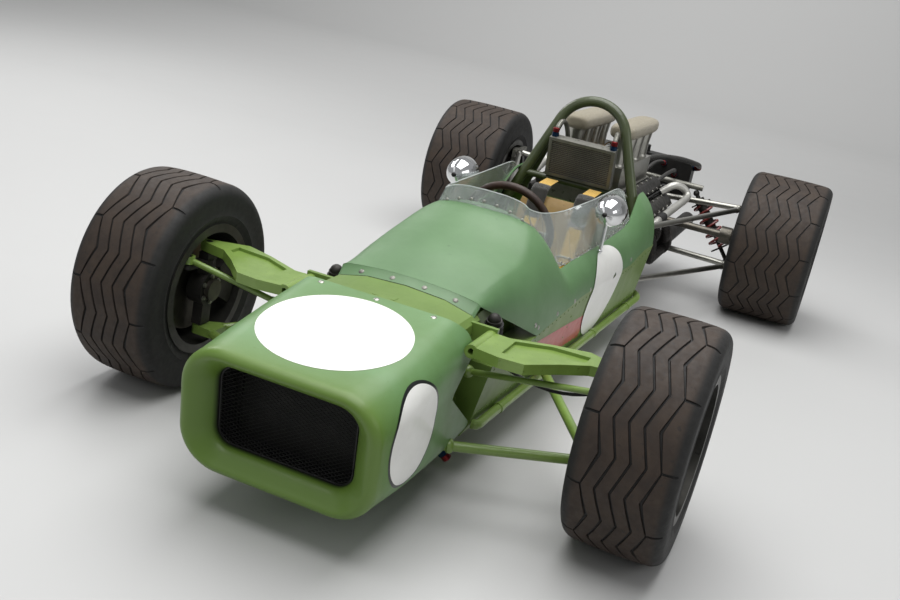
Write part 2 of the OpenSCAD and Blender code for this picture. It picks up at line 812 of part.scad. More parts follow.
// Left half of a cowl section from its low edge to its crown
function cowl_half(aft) =
  let (
    low = [between(cowl_rows, aft, 1), between(cowl_rows, aft, 2)],
    edge = [between(cowl_rows, aft, 3), between(cowl_rows, aft, 4)],
    crown = [0, between(cowl_rows, aft, 5)],
    belly = [lerp(low.x, edge.x, 0.1), lerp(low.y, edge.y, 0.72)],
    brow = [edge.x * 0.55, crown.y]
  )
    concat(
      [for (k = [0 : side_steps]) curve(low, belly, edge, k / side_steps)],
      [for (k = [1 : crown_steps]) curve(edge, brow, crown, k / crown_steps)]
    );

// Whole section from left to right, with its outward direction at each point
function cowl_arch(aft) =
  let (half = cowl_half(aft), last = len(half) - 1)
    concat(half, [for (i = [last - 1 : -1 : 0]) [-half[i].x, half[i].y]]);
function outward(ring, i) =
  let (t = unit(ring[min(i + 1, len(ring) - 1)] - ring[max(i - 1, 0)])) [t.y, -t.x];
function cowl_ring(aft, inset) =
  let (ring = cowl_arch(aft))
    [for (i = [0 : len(ring) - 1])
      let (p = ring[i] - inset * outward(ring, i), end = i == 0 || i == len(ring) - 1)
        [-aft, p.x, end ? ring[i].y : p.y]];

// Wall between an outer and an inner grid of points, with the cells that keep[i][j] asks for
module sheet(outer, inner, keep) {
  m = len(outer);
  n = len(outer[0]);
  all = m * n;
  has = function (i, j) i >= 0 && j >= 0 && i < m - 1 && j < n - 1 && keep[i][j];
  wall = function (a, b) [[a, b, b + all], [a, b + all, a + all]];
  polyhedron(
    points = concat([for (row = outer) each row], [for (row = inner) each row]),
    faces = [for (i = [0 : m - 2], j = [0 : n - 2])
      if (keep[i][j])
        let (a = i * n + j, b = a + 1, c = a + n, d = c + 1)
          each concat(
            [[a, b, d], [a, d, c], [a + all, d + all, b + all], [a + all, c + all, d + all]],
            has(i - 1, j) ? [] : wall(b, a), has(i + 1, j) ? [] : wall(c, d),
            has(i, j - 1) ? [] : wall(a, c), has(i, j + 1) ? [] : wall(d, b)
          )]
  );
}

module cockpit_cowl() {
  steps = [for (row = cowl_rows) row[0]];
  columns = 2 * (side_steps + crown_steps);
  keep = [for (i = [0 : len(steps) - 2])
    [for (j = [0 : columns - 1]) steps[i] < scuttle_aft || j < side_steps || j >= columns - side_steps]];
  color("#4d7a4a")
    sheet([for (aft = steps) cowl_ring(aft, 0)], [for (aft = steps) cowl_ring(aft, skin)], keep);
}

// Clear screen

// Columns: aft, half width of the top edge, height of the top edge
screen_top = [
  [478, 0, 644], [480, 30, 643], [484, 60, 641], [490, 88, 636], [497, 112, 628], [505, 130, 618],
  [560, 152, 606], [634, 170, 600], [735, 180, 596], [1000, 192, 593], [1160, 196, 594], [1300, 200, 592],
  [1380, 208, 570]
];
// Height that the screen's foot stands clear of the cowl
screen_foot = 0.6;
// Lift of the screen's inner edge over the rising scuttle
scuttle_lift = 2;
// Lean of the screen's top over the scuttle
screen_rake = 12;

// Foot of the screen on the cowl, on the left: over the scuttle, then along the cockpit's edge
function screen_base(i) =
  let (aft = screen_top[i][0], p = cowl_half(aft)[side_steps + max(crown_steps - i, 0)])
    [-aft, p.x, p.y + screen_foot];
function screen_rim(i) =
  [-screen_top[i][0] - (i < crown_steps ? screen_rake : 0), screen_top[i][1], screen_top[i][2]];

module windscreen() {
  last = len(screen_top) - 1;
  rows = 3;
  left_run = [for (i = [last : -1 : 0]) i];
  line = function (t) concat(
    [for (i = left_run) lerp(screen_base(i), screen_rim(i), t)],
    [for (i = [1 : last]) let (p = lerp(screen_base(i), screen_rim(i), t)) [p.x, -p.y, p.z]]
  );
  inward = [for (p = line(0)) screen_t * unit([wheel_centre.x - p.x, -p.y * 3])];
  lift = function (j) abs(last - j) <= crown_steps ? scuttle_lift : screen_foot;
  outer = [for (k = [0 : rows]) line(k / rows)];
  inner = [for (k = [0 : rows]) let (row = line(k / rows)) [for (j = [0 : len(row) - 1])
    row[j] + [inward[j].x, inward[j].y, k == 0 ? lift(j) : 0]]];
  keep = [for (k = [0 : rows - 1]) [for (j = [0 : 2 * last - 1]) true]];
  color([0.8, 0.9, 0.9, 0.4]) sheet(outer, inner, keep);
}

// Chrome mirror on a short stalk at the cockpit's edge
module mirrors() {
  centre = [-955, 260, 576];
  length = 96;
  glass_in = 6;
  r = mirror_d / 2;
  stalk_r = 6;
  foot_r = 8;
  half = cowl_half(-centre.x);
  foot_at = half[side_steps - 1];
  out = outward(cowl_arch(-centre.x), side_steps - 1);
  foot = [centre.x, foot_at.x, foot_at.y] + [0, out.x, out.y] * (foot_r + seat_gap);
  shape = [for (k = [0 : 8]) [r * sqrt(1 - pow(1 - k / 8, 2)), k * length / 8]];
  color("#d8dadb") both() {
    translate(centre + [length * 0.6, 0, 0]) rotate([0, -90, 0]) rotate_extrude()
      polygon(concat(shape, [[r - 4, length], [r - 6, length - glass_in], [0, length - glass_in]]));
    bar(centre - [0, 0, r - 6], foot, stalk_r);
    translate(foot) sphere(r = foot_r);
  }
}

// Cockpit

// Instrument board under the scuttle's rear edge, with the bracket that carries the steering column
module dash_panel() {
  aft = 492;
  board_t = 6;
  low = 462;
  dials = [[-78, 522, 30], [0, 534, 40], [78, 522, 30]];
  ring = cowl_ring(aft, skin + seat_gap + 0.4);
  arch = [for (i = [side_steps : len(ring) - 1 - side_steps]) [ring[i].y, ring[i].z]];
  dial_h = 13;
  bracket_at = 262;
  bracket_r = 20;
  bracket_l = 26;
  strut_w = 24;
  axis = [cos(column_tilt), 0, -sin(column_tilt)];
  ring_a = wheel_centre + axis * bracket_at;
  ring_b = ring_a + axis * bracket_l;
  color("#1d1d1c") {
    translate([-aft - board_t, 0, 0]) rotate([90, 0, 90]) linear_extrude(board_t)
      polygon(concat(arch, [[-arch[0].x + 14, low], [arch[0].x - 14, low]]));
    for (d = dials)
      translate([-aft - board_t + 1 - dial_h, d[0], d[1]]) rotate([0, 90, 0]) cylinder(h = dial_h, r = d[2]);
    difference() {
      union() {
        bar(ring_a, ring_b, bracket_r);
        translate([-aft - board_t, -strut_w / 2, ring_a.z + 4]) cube([board_t, strut_w, low + 10 - ring_a.z]);
      }
      bar(ring_a - axis * 20, ring_b + axis * 20, column_r + run_gap);
    }
  }
}

// Seat in side view: columns x, z from the front of the cushion to the top of the back, padding side
seat_back = 270 - tub_aft;
seat_face = [for (p = [[440, 152], [240, 148], [180, 162], [135, 205], [0, 500]]) [seat_back + p.x, p.y]];
function seat_normal(i) = let (t = heading(seat_face, i)) [t.y, -t.x];
// Line at a height over the padding
function seat_line(rise) = [for (i = [0 : len(seat_face) - 1]) seat_face[i] + rise * seat_normal(i)];

module upright_slab(points, y0, y1) {
  translate([0, y1, 0]) rotate([90, 0, 0]) linear_extrude(y1 - y0) polygon(points);
}

module seat() {
  deck = floor_z + floor_t + seat_gap;
  back = [
    [seat_back - seat_t, 492], [seat_back + 90, 205], [seat_back + 130, deck], [seat_back + 440, deck]
  ];
  color("#c2a468") upright_slab(concat(seat_face, back), -seat_w / 2, seat_w / 2);
}

// Two shoulder straps over the padding, each with a sewn pad, and a lap strap's stub on each side
module harness() {
  strap_y = 84;
  strap_w = 48;
  pad_w = 64;
  rise = 1;
  strap_t = 4;
  pad_t = 14;
  run = [2, 3, 4];
  low = seat_line(rise);
  mid = seat_line(rise + strap_t);
  sewn = seat_line(rise + strap_t - 1);
  high = seat_line(rise + strap_t + pad_t);
  tail = [seat_back - 140, 530];
  under = [for (i = run) low[i]];
  over = [for (i = [4 : -1 : 2]) mid[i]];
  color("#d9b13a") both() {
    upright_slab(concat(under, [tail - [0, strap_t], tail], over),
      strap_y - strap_w / 2, strap_y + strap_w / 2);
    upright_slab([lerp(sewn[3], sewn[4], 0.45), sewn[4], high[4], lerp(high[3], high[4], 0.5)],
      strap_y - pad_w / 2, strap_y + pad_w / 2);
  }
}

// Wheel in its own plane, axis along the column towards the driver
module steering_wheel() {
  ring_r = (wheel_d - grip_d) / 2;
  spoke = [ring_r, 26, 4];
  hub_r = 34;
  hub_h = 22;
  column_l = 300;
  color("#2c1d14") translate(wheel_centre) rotate([0, column_tilt - 90, 0]) {
    rotate_extrude($fn = 64) translate([ring_r, 0]) circle(d = grip_d, $fn = 24);
    for (a = [90, 180, 270])
      rotate(a) translate([0, -spoke.y / 2, -spoke.z / 2]) cube(spoke);
    translate([0, 0, 8 - hub_h]) cylinder(h = hub_h, r = hub_r);
    translate([0, 0, -column_l]) cylinder(h = column_l, r = column_r);
  }
}

// Ends of the rack's housing on the front box
module steering_rack() {
  housing_r = 20;
  housing_l = 14;
  box_y = bulkhead_half()[5].x + seat_gap;
  color("#8a8a86") both()
    translate([rack_place.x, box_y, rack_place.z]) rotate([-90, 0, 0]) difference() {
      cylinder(h = housing_l, r = housing_r);
      translate([0, 0, -1]) cylinder(h = housing_l + 2, r = rack_r + run_gap);
    }
}

// Rack ends, ball joints and the tie rods that reach the steering arms
module tie_rods() {
  eye_h = 20;
  eye_wall = 7;
  joint_r = 16;
  inner = rack_place + [0, 6, 0];
  color("#88a24c") both() {
    bar([rack_place.x, 0, rack_place.z], rack_place, rack_r);
    translate(inner) sphere(r = joint_r);
    difference() {
      union() {
        bar(inner, tie_end, tie_rod_r);
        translate(tie_end - [0, 0, eye_h / 2]) cylinder(h = eye_h, r = tie_eye_r + eye_wall);
      }
      translate(tie_end - [0, 0, eye_h]) cylinder(h = 2 * eye_h, r = tie_eye_r);
    }
  }
}

// Roll hoop

hoop_aft = tub_aft - 110;
hoop_lean = 9.6;
hoop_spread = 21;
arc_r = 136;
arc_v = 340;
hoop_foot_z = seam_z(hoop_aft) + seat_gap;
cross_v = 164;
cross_r = 13;
leg_top = [arc_r * cos(hoop_spread), arc_v + arc_r * sin(hoop_spread)];
// Half width of the hoop's middle line at a height v along its plane
function leg_y(v) = leg_top.x + (leg_top.y - v) * tan(hoop_spread);

// Middle line of the hoop in its own plane, from a height v: up the left leg, round the arc, down the right
function hoop_line(v) = let (arc_steps = 20) concat(
  [[0, leg_y(v), v]],
  [for (k = [0 : arc_steps]) let (a = lerp(hoop_spread, 180 - hoop_spread, k / arc_steps))
    [0, arc_r * cos(a), arc_v + arc_r * sin(a)]],
  [[0, -leg_y(v), v]]
);

module roll_hoop() {
  r = hoop_d / 2;
  stay_r = 15;
  stay_pad = [19, 26];
  stay_v = 380;
  foot_v = 16;
  foot = [26, 26];
  plate_top = 442;
  stay_x = -hoop_aft - stay_v * sin(hoop_lean) - r;
  stay_head = [stay_x, leg_y(stay_v) - 2, hoop_foot_z + stay_v * cos(hoop_lean)];
  stay_foot = [8 - tub_aft, 226, plate_top + seat_gap];
  color("#39451f") {
    translate([-hoop_aft, 0, hoop_foot_z]) rotate([0, -hoop_lean, 0]) {
      tube(hoop_line(foot_v), r, 20, [1, 0, 0]);
      bar([0, -leg_y(cross_v), cross_v], [0, leg_y(cross_v), cross_v], cross_r);
    }
    both() {
      translate([-hoop_aft, leg_y(foot_v), hoop_foot_z]) cylinder(h = foot.y, r = foot.x);
      bar(stay_head, stay_foot + [0, 0, stay_pad.y / 2], stay_r);
      translate(stay_foot) cylinder(h = stay_pad.y, r = stay_pad.x);
    }
  }
}

// Oil cooler standing on the hoop's cross tube, with the two hoses from its top corners
module hoop_cooler() {
  size = [40, 252, 150];
  rim_w = 12;
  dip = 5;
  lean = 14;
  hose_r = 9;
  hose_y = 112;
  cross_z = hoop_foot_z + cross_v * cos(hoop_lean) + cross_r;
  foot = [-hoop_aft - cross_v * sin(hoop_lean) + 6, 0, cross_z + size.x / 2 * sin(lean) + seat_gap];
  color("#74766f") {
    translate(foot) rotate([0, lean, 0]) difference() {
      translate([-size.x / 2, -size.y / 2, 0]) cube(size);
      translate([size.x / 2 - dip, rim_w - size.y / 2, rim_w])
        cube([size.x, size.y - 2 * rim_w, size.z - 2 * rim_w]);
    }
    for (side = [left, right]) {
      head = foot + [size.z * sin(lean), side * hose_y, size.z * cos(lean) - 6];
      peak = [-hoop_aft - 120, side * 96, 790];
      end = [engine_front - 15, side * 80, shelf[2] + 1.1];
      tube(bend(head, head + [0, 0, 90], peak, end, 12), hose_r, 10, [0, 1, 0]);
    }
  }
}

// Engine and gearbox

engine_l = 570;
engine_front = -tub_aft - seat_gap;
engine_rear = engine_front - engine_l;
engine_top = 505;
shelf = [44, 132, 516];
bank_out = [250, 398];
port_low = [215, 352];
row_y = 90;
engine_mid = (engine_front + engine_rear) / 2;
trumpet_x = [for (k = [0 : trumpets - 1]) engine_mid + ((trumpets - 1) / 2 - k) * trumpet_pitch];

// Crankcase, sump and both banks as one section, with the flat front cover
module engine_block() {
  cover_t = 28;
  color("#6a6a66") {
    across([[0, 430], [shelf[0], 430], [shelf[0], shelf[2]], [shelf[1], shelf[2]], bank_out, port_low,
      [122, 268], [114, 142], [84, 124]], engine_rear, engine_front);
    across([[0, engine_top], [118, engine_top], [226, 404], [206, 330], [130, 250], [126, 150], [96, 130]],
      engine_front - cover_t, engine_front);
  }
}

// Four finned covers, two on each sloping bank
module cam_covers() {
  w = 64;
  h = 34;
  round_h = 20;
  start = engine_rear + 12;
  length = engine_l - 52;
  ribs = 9;
  rib = [6, w + 6, 12];
  color("#2b2a28") both()
    translate([0, shelf[1], shelf[2]]) rotate([-45, 0, 0])
      for (y = [8, 92]) {
        translate([start, y, seat_gap]) rotate([90, 0, 90]) linear_extrude(length)
          polygon(concat([[0, 0], [w, 0]],
            [for (a = [0 : 18 : 180]) [w / 2 + w / 2 * cos(a), h - round_h + round_h * sin(a)]]));
        for (k = [1 : ribs])
          translate([start + k * length / (ribs + 1), y - 3, seat_gap]) cube(rib);
      }
}

// Slide housings with two rows of flared trumpets
module intake_trumpets() {
  box = [trumpet_pitch * trumpets - 20, 76, 90];
  z0 = shelf[2] + seat_gap;
  rise = 139;
  base_r = 27;
  wall = 2.5;
  mouth = trumpet_d / 2;
  color("#c9c8c2") both() {
    difference() {
      translate([engine_mid - box.x / 2, row_y - box.y / 2, z0]) cube(box);
      for (x = trumpet_x)
        translate([x, row_y, z0 + box.z - 30]) cylinder(h = 40, r = base_r - wall);
    }
    for (x = trumpet_x)
      translate([x, row_y, z0 + box.z]) rotate_extrude() polygon([
        [base_r - wall, 0], [base_r + 3, 0], [base_r, 8], [base_r + 1, rise * 0.42],
        [base_r + 6, rise * 0.72], [mouth - 6, rise * 0.93], [mouth, rise], [mouth - 4, rise + 2],
        [base_r + 4, rise * 0.78], [base_r - 1, rise * 0.45]
      ]);
  }
}

// Four pipes on each side into a collector and a straight tail pipe
module exhausts() {
  pipe_r = 19;
  lane = [236, 241];
  spread = 22;
  lanes = [[-1, -1], [1, -1], [-1, 1], [1, 1]];
  gather = engine_rear - 30;
  collector = [52, 40, 90];
  tail_r = 34;
  tail_wall = 3;
  bore_l = 160;
  tail_end = -wheelbase - tail_reach + 20;
  face = unit([bank_out.y - port_low.y, port_low.x - bank_out.x]);
  port = (bank_out + port_low) / 2 + face * seat_gap;
  color("#1f1e1d") both() {
    for (k = [0 : trumpets - 1]) {
      a = [trumpet_x[k], port.x, port.y];
      n = [0, face.x, face.y];
      b = concat([trumpet_x[k] - 130], lane + spread * lanes[k]);
      run = bend(a + n * 14, a + n * 66, b + [75, 18, 18], b, 9);
      tube(concat([a], run, [[gather - 10, b[1], b[2]]]), pipe_r, 10);
    }
    difference() {
      union() {
        bar([gather, lane.x, lane.y], [gather - collector[1], lane.x, lane.y], collector[0]);
        translate([gather - collector[1], lane.x, lane.y]) rotate([0, -90, 0])
          cylinder(h = collector[2], r1 = collector[0], r2 = tail_r);
        bar([gather - collector[1] - collector[2], lane.x, lane.y], [tail_end, lane.x, lane.y], tail_r);
      }
      bar([tail_end + bore_l, lane.x, lane.y], [tail_end - 1, lane.x, lane.y], tail_r - tail_wall);
    }
  }
}

// Bell housing, gear case with ribs, shaft bosses and the plate that carries the rear links
module gearbox() {
  bell_end = -wheelbase + 100;
  case_end = -wheelbase - 320;
  half = 84;
  low = 190;
  high = 385;
  slab = 4;
  tail = -wheelbase - tail_reach;
  rib_x = [for (k = [0 : 4]) bell_end - 40 - k * 64];
  flange = [slab, 300, 262];
  flange_z = 135;
  cap = [46, 40];
  boss_r = 50;
  tube_r = 13;
  tube_half = damper_top.y + 22;
  block = [140, 440];
  bar_z = damper_top.z + rod_eye + tube_r + seat_gap;
  color("#a3a29b") {
    hull() {
      translate([engine_rear - seat_gap - slab, -flange.y / 2, flange_z]) cube(flange);
      translate([bell_end, -half, low]) cube([slab, 2 * half, high - low]);
    }
    translate([case_end, -half, low]) cube([bell_end - case_end + 1, 2 * half, high - low]);
    for (x = rib_x)
      translate([x, -half - 6, low - 5]) cube([8, 2 * half + 12, high - low]);
    hull() {
      translate([case_end, -half, low]) cube([slab, 2 * half, high - low - 12]);
      translate([tail + 12, -56, low + 30]) cube([slab, 112, high - low - 74]);
    }
    translate([tail, 0, low + 88]) rotate([0, 90, 0]) cylinder(h = cap.y, r = cap.x);
    translate([rear_hub.x, 0, rear_hub.z]) axle_bar(boss_r, -output_y, output_y);
    across([[0, 478], [96, 478], [cross_half, 430], [cross_half, 150], [90, 140]],
      -cross_aft - cross_t / 2, cross_t / 2 - cross_aft);
    bar([damper_top.x, -tube_half, bar_z], [damper_top.x, tube_half, bar_z], tube_r);
    translate([damper_top.x, -block.x / 2, block.y])
      cube([-cross_aft - damper_top.x, block.x, bar_z - block.y]);
  }
}

// Oil tank across the gear case, with its filler neck
module rear_oil_tank() {
  t = 84;
  aft = wheelbase + 210;
  seat_z = 385 + seat_gap;
  half = 240;
  top = 548;
  corner_r = 34;
  neck = [24, 34];
  color("#1b1b1b") {
    translate([-aft - t, 0, 0]) rotate([90, 0, 90]) linear_extrude(t)
      polygon(rounded(half, seat_z, top, corner_r));
    translate([-aft - t / 2, 0, top - 4]) cylinder(h = neck.y, r = neck.x);
  }
}

// Water pipes along the tub's lower sides, each with four clips
module side_pipes() {
  r = pipe_d / 2;
  off = r + 3;
  clip_aft = [200, 620, 1040, 1460];
  taper = atan((tub_half_rear - tub_half_front) / tub_aft);
  front = 110;
  y0 = tub_half(front) + off;
  y1 = tub_half(tub_aft) + off;
  into = [-46, tub_side(46, pipe_z + r) + seat_gap];
  out = [engine_front - 110, 115.5 + seat_gap];
  clip_l = 18;
  ahead = bend(into, [into.x, y0], [into.x - 2, y0], [-front, y0], 6);
  behind = bend([-tub_aft + 20, y1], [engine_front - 60, y1 + 4], [out.x, y1 - 20], out, 9);
  color("#8fae4a") both() {
    tube(concat(
      [for (p = ahead) [p.x, p.y, pipe_z]],
      [[-tub_aft / 2, tub_half(tub_aft / 2) + off, pipe_z]],
      [for (p = behind) [p.x, p.y, pipe_z]]
    ), r, 12);
    for (aft = clip_aft)
      translate([-aft, tub_half(aft), pipe_z]) rotate(-taper) {
        translate([-clip_l / 2, seat_gap, -16]) cube([clip_l, off, 16]);
        translate([-clip_l / 2, off, 0]) rotate([0, 90, 0]) cylinder(h = clip_l, r = r + 2);
      }
  }
}

// Brake hoses: routes on the left side from the front box to the upright, hanging in a shallow bow
hose_d = 9;
hose_route = [
  [0, 206, 352], [0, 222, 352], [-2, 246, 350], [-3, 272, 344], [-4, 300, 336], [-5, 330, 327],
  [-6, 360, 320], [-6, 390, 316], [-6, 420, 315], [-6, 450, 318], [-5, 476, 324], [-4, 500, 332],
  [-3, 520, 340], [-1, 536, 345], [0, 548, 347], [0, 558, 347]
];

module brake_hose(side) {
  color("#161616") on_side(side) tube(hose_route, hose_d / 2, 8);
}

place() tub();
place() nose_cone();
place() grille_mesh();
place() front_radiator();
place() cockpit_cowl();
place() windscreen();
place() mirrors();
place() dash_panel();
place() seat();
place() harness();
place() steering_wheel();
place() steering_rack();
place() tie_rods();
place() roll_hoop();
place() hoop_cooler();
place() engine_block();
place() cam_covers();
place() intake_trumpets();
place() exhausts();
place() gearbox();
place() rear_oil_tank();
place() side_pipes();
place() front_upper_arms();
place() front_lower_wishbones();
place() rear_links();
place() dampers();
place() springs();
place() rear_uprights();
place() upright(left);  // upright_left
place() upright(right);  // upright_right
place() disc_front(left);  // disc_front_left
place() disc_front(right);  // disc_front_right
place() half_shaft(left);  // half_shaft_left
place() half_shaft(right);  // half_shaft_right
place() rim(left, front_hub, front_rim_w, hub_face);  // rim_front_left
place() rim(right, front_hub, front_rim_w, hub_face);  // rim_front_right
place() rim(left, rear_hub, rear_rim_w, rear_hub_face);  // rim_rear_left
place() rim(right, rear_hub, rear_rim_w, rear_hub_face);  // rim_rear_right
place() tyre(left, front_hub, front_tyre_d, front_tyre_w);  // tyre_front_left
place() tyre(right, front_hub, front_tyre_d, front_tyre_w);  // tyre_front_right
place() tyre(left, rear_hub, rear_tyre_d, rear_tyre_w);  // tyre_rear_left
place() tyre(right, rear_hub, rear_tyre_d, rear_tyre_w);  // tyre_rear_right
place() brake_hose(left);  // brake_hose_left
place() brake_hose(right);  // brake_hose_right
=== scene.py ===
import math

import bmesh
import bpy
import numpy as np
from mathutils import Matrix, Vector
from mathutils.bvhtree import BVHTree


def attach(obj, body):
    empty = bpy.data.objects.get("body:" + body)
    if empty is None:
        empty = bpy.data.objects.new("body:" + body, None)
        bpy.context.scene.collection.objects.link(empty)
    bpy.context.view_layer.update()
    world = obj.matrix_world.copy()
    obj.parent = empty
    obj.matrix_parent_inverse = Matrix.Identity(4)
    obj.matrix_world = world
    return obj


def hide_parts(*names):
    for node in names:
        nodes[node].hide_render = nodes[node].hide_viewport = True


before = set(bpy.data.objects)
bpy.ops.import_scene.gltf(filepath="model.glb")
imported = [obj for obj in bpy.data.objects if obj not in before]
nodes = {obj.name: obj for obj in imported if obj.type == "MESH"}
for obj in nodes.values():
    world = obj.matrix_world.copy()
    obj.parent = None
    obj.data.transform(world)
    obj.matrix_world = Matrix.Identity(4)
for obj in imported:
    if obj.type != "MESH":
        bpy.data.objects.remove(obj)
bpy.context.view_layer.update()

# Front axle in the shared frame, in millimetres, and the two sides of the car
frontAxle = (1155.0, 0.0, 0.0)
sides = (("left", 1), ("right", -1))


# Millimetres from the front axle, as the solids are drawn, to metres in the shared frame
def at(points):
    return (np.asarray(points, float) + np.array(frontAxle)) / 1000


# Points of the left side, or their mirror image on the right
def onSide(points, sign):
    return np.asarray(points, float) * [1, sign, 1]


# Angles once round
def roundAngles(steps):
    return np.linspace(0, 2 * math.pi, steps, endpoint=False)


# Rows of coordinates brought to length 1
def unit(rows):
    return rows / np.linalg.norm(rows, axis=-1, keepdims=True)


# |w|^p with the sign of w
def signedPower(w, p):
    return np.sign(w) * np.abs(w) ** p


# sRGB colour code to a linear colour
def rgb(code):
    part = np.array([int(code[i:i + 2], 16) / 255 for i in (1, 3, 5)])
    line = np.where(part <= 0.04045, part / 12.92, ((part + 0.055) / 1.055) ** 2.4)
    return (*line.tolist(), 1.0)


# Quads of a grid of rows and columns, with either direction closed on itself
def gridFaces(rows, cols, wrapRows=False, wrapCols=False):
    i, j = np.meshgrid(
        np.arange(rows if wrapRows else rows - 1),
        np.arange(cols if wrapCols else cols - 1),
        indexing="ij",
    )
    i, j = i.ravel(), j.ravel()
    k, m = (i + 1) % rows, (j + 1) % cols
    return np.stack([i * cols + j, k * cols + j, k * cols + m, i * cols + m], 1).tolist()


# Faces of rings laid one after another, closed at both ends
def ringFaces(rings, steps):
    last = (rings - 1) * steps
    ends = [list(range(steps - 1, -1, -1)), list(range(last, last + steps))]
    return gridFaces(rings, steps, wrapCols=True) + ends


# One mesh from several lists of points and faces
def joined(parts):
    points, faces, base = [], [], 0
    for p, f in parts:
        points.append(np.asarray(p, float))
        faces += [[base + i for i in face] for face in f]
        base += len(p)
    return np.concatenate(points), faces


def addPiece(name, points, faces, mat, body="chassis", smooth=True, recalc=True, values=None):
    mesh = bpy.data.meshes.new(name)
    mesh.from_pydata(np.asarray(points, float).tolist(), [], faces)
    if recalc:
        work = bmesh.new()
        work.from_mesh(mesh)
        bmesh.ops.recalc_face_normals(work, faces=work.faces)
        work.to_mesh(mesh)
        work.free()
    for key, value in (values or {}).items():
        layer = mesh.attributes.new(key, "FLOAT", "POINT")
        layer.data.foreach_set("value", np.asarray(value, np.float32))
    mesh.polygons.foreach_set("use_smooth", [smooth] * len(mesh.polygons))
    mesh.materials.append(mat)
    piece = bpy.data.objects.new(name, mesh)
    bpy.context.scene.collection.objects.link(piece)
    if smooth:
        sharpen(mesh)
    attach(piece, body)
    return piece


# Edges that turn by more than about 40 degrees stay sharp
def sharpen(mesh, angle=0.7):
    work = bmesh.new()
    work.from_mesh(mesh)
    for edge in work.edges:
        edge.smooth = len(edge.link_faces) == 2 and edge.calc_face_angle(0) < angle
    work.to_mesh(mesh)
    work.free()


# Frames along a path: u and v square to the heading, carried along with no twist
def pathFrames(path):
    heading = unit(np.gradient(path, axis=0))
    start = np.array([0.0, 0.0, 1.0]) if abs(heading[0][2]) < 0.9 else np.array([1.0, 0.0, 0.0])
    u = np.cross(heading[0], start)
    across = []
    for t in heading:
        u = u - t * np.dot(u, t)
        u = u / np.linalg.norm(u)
        across.append(u)
    across = np.array(across)
    return across, np.cross(heading, across)


# Ring k of a tube: path[k] + radius[k] (u cos a + v sin a), ends closed
def tube(path, radius, steps=10):
    path = np.asarray(path, float)
    radius = np.broadcast_to(np.asarray(radius, float), (len(path),))
    u, v = pathFrames(path)
    a = roundAngles(steps)
    rings = path[:, None] + radius[:, None, None] * (
        u[:, None] * np.cos(a)[None, :, None] + v[:, None] * np.sin(a)[None, :, None]
    )
    return rings.reshape(-1, 3), ringFaces(len(path), steps)


# Smooth points through route points, by Catmull-Rom spans
def smoothRoute(points, per=6):
    p = np.asarray(points, float)
    p = np.vstack([2 * p[0] - p[1], p, 2 * p[-1] - p[-2]])
    t = np.linspace(0, 1, per, endpoint=False)[:, None]
    spans = [
        0.5 * (2 * p[i] + (p[i + 1] - p[i - 1]) * t
               + (2 * p[i - 1] - 5 * p[i] + 4 * p[i + 1] - p[i + 2]) * t ** 2
               + (3 * p[i] - p[i - 1] - 3 * p[i + 1] + p[i + 2]) * t ** 3)
        for i in range(1, len(p) - 2)
    ]
    return np.vstack(spans + [p[-2][None]])


# Profile of radius and height turned about an axis through a centre
def lathe(profile, centre, axis, steps=16):
    axis = np.asarray(axis, float) / np.linalg.norm(axis)
    side = np.cross(axis, [0, 0, 1] if abs(axis[2]) < 0.9 else [1, 0, 0])
    side = side / np.linalg.norm(side)
    other = np.cross(axis, side)
    a = roundAngles(steps)
    ring = side[None] * np.cos(a)[:, None] + other[None] * np.sin(a)[:, None]
    r = np.array([p[0] for p in profile], float)
    h = np.array([p[1] for p in profile], float)
    points = np.asarray(centre, float) + r[:, None, None] * ring[None] + h[:, None, None] * axis
    return points.reshape(-1, 3), ringFaces(len(profile), steps)


# Finer skins that stand for a solid, by its name
skins = {}


# Rays on one or more solids or their skins: where they meet first, and the surface's direction there
def caster(names):
    trees = []
    for name in names:
        mesh = (skins.get(name) or nodes[name]).data
        trees.append(BVHTree.FromPolygons(
            [v.co for v in mesh.vertices], [tuple(p.vertices) for p in mesh.polygons]))

    def cast(starts, way):
        spots, ways = [], []
        for start in starts:
            hits = [t.ray_cast(Vector(start), Vector(way)) for t in trees]
            hits = [h for h in hits if h[0] is not None]
            hit = min(hits, key=lambda h: h[3]) if hits else None
            spots.append(hit[0] if hit else (math.nan,) * 3)
            ways.append(hit[1] if hit else (math.nan,) * 3)
        return np.array(spots, float), np.array(ways, float)

    return cast


# What rays meet, without those that miss
def struck(cast, starts, way):
    spots, ways = cast(starts, way)
    good = np.isfinite(spots).all(1)
    return spots[good], ways[good]


# Shared effects as node groups: a noise mask, a fine relief and a woven relief
def newGroup(name, inputs, outputs):
    group = bpy.data.node_groups.new(name, "ShaderNodeTree")
    for key, kind, value in inputs:
        socket = group.interface.new_socket(name=key, in_out="INPUT", socket_type=kind)
        socket.default_value = value
    for key, kind in outputs:
        group.interface.new_socket(name=key, in_out="OUTPUT", socket_type=kind)
    return group, group.nodes.new("NodeGroupInput"), group.nodes.new("NodeGroupOutput")


# Links of a tree. Columns: node, its output, next node, its input
def linkAll(tree, *wires):
    for source, output, target, entry in wires:
        tree.links.new(source.outputs[output], target.inputs[entry])


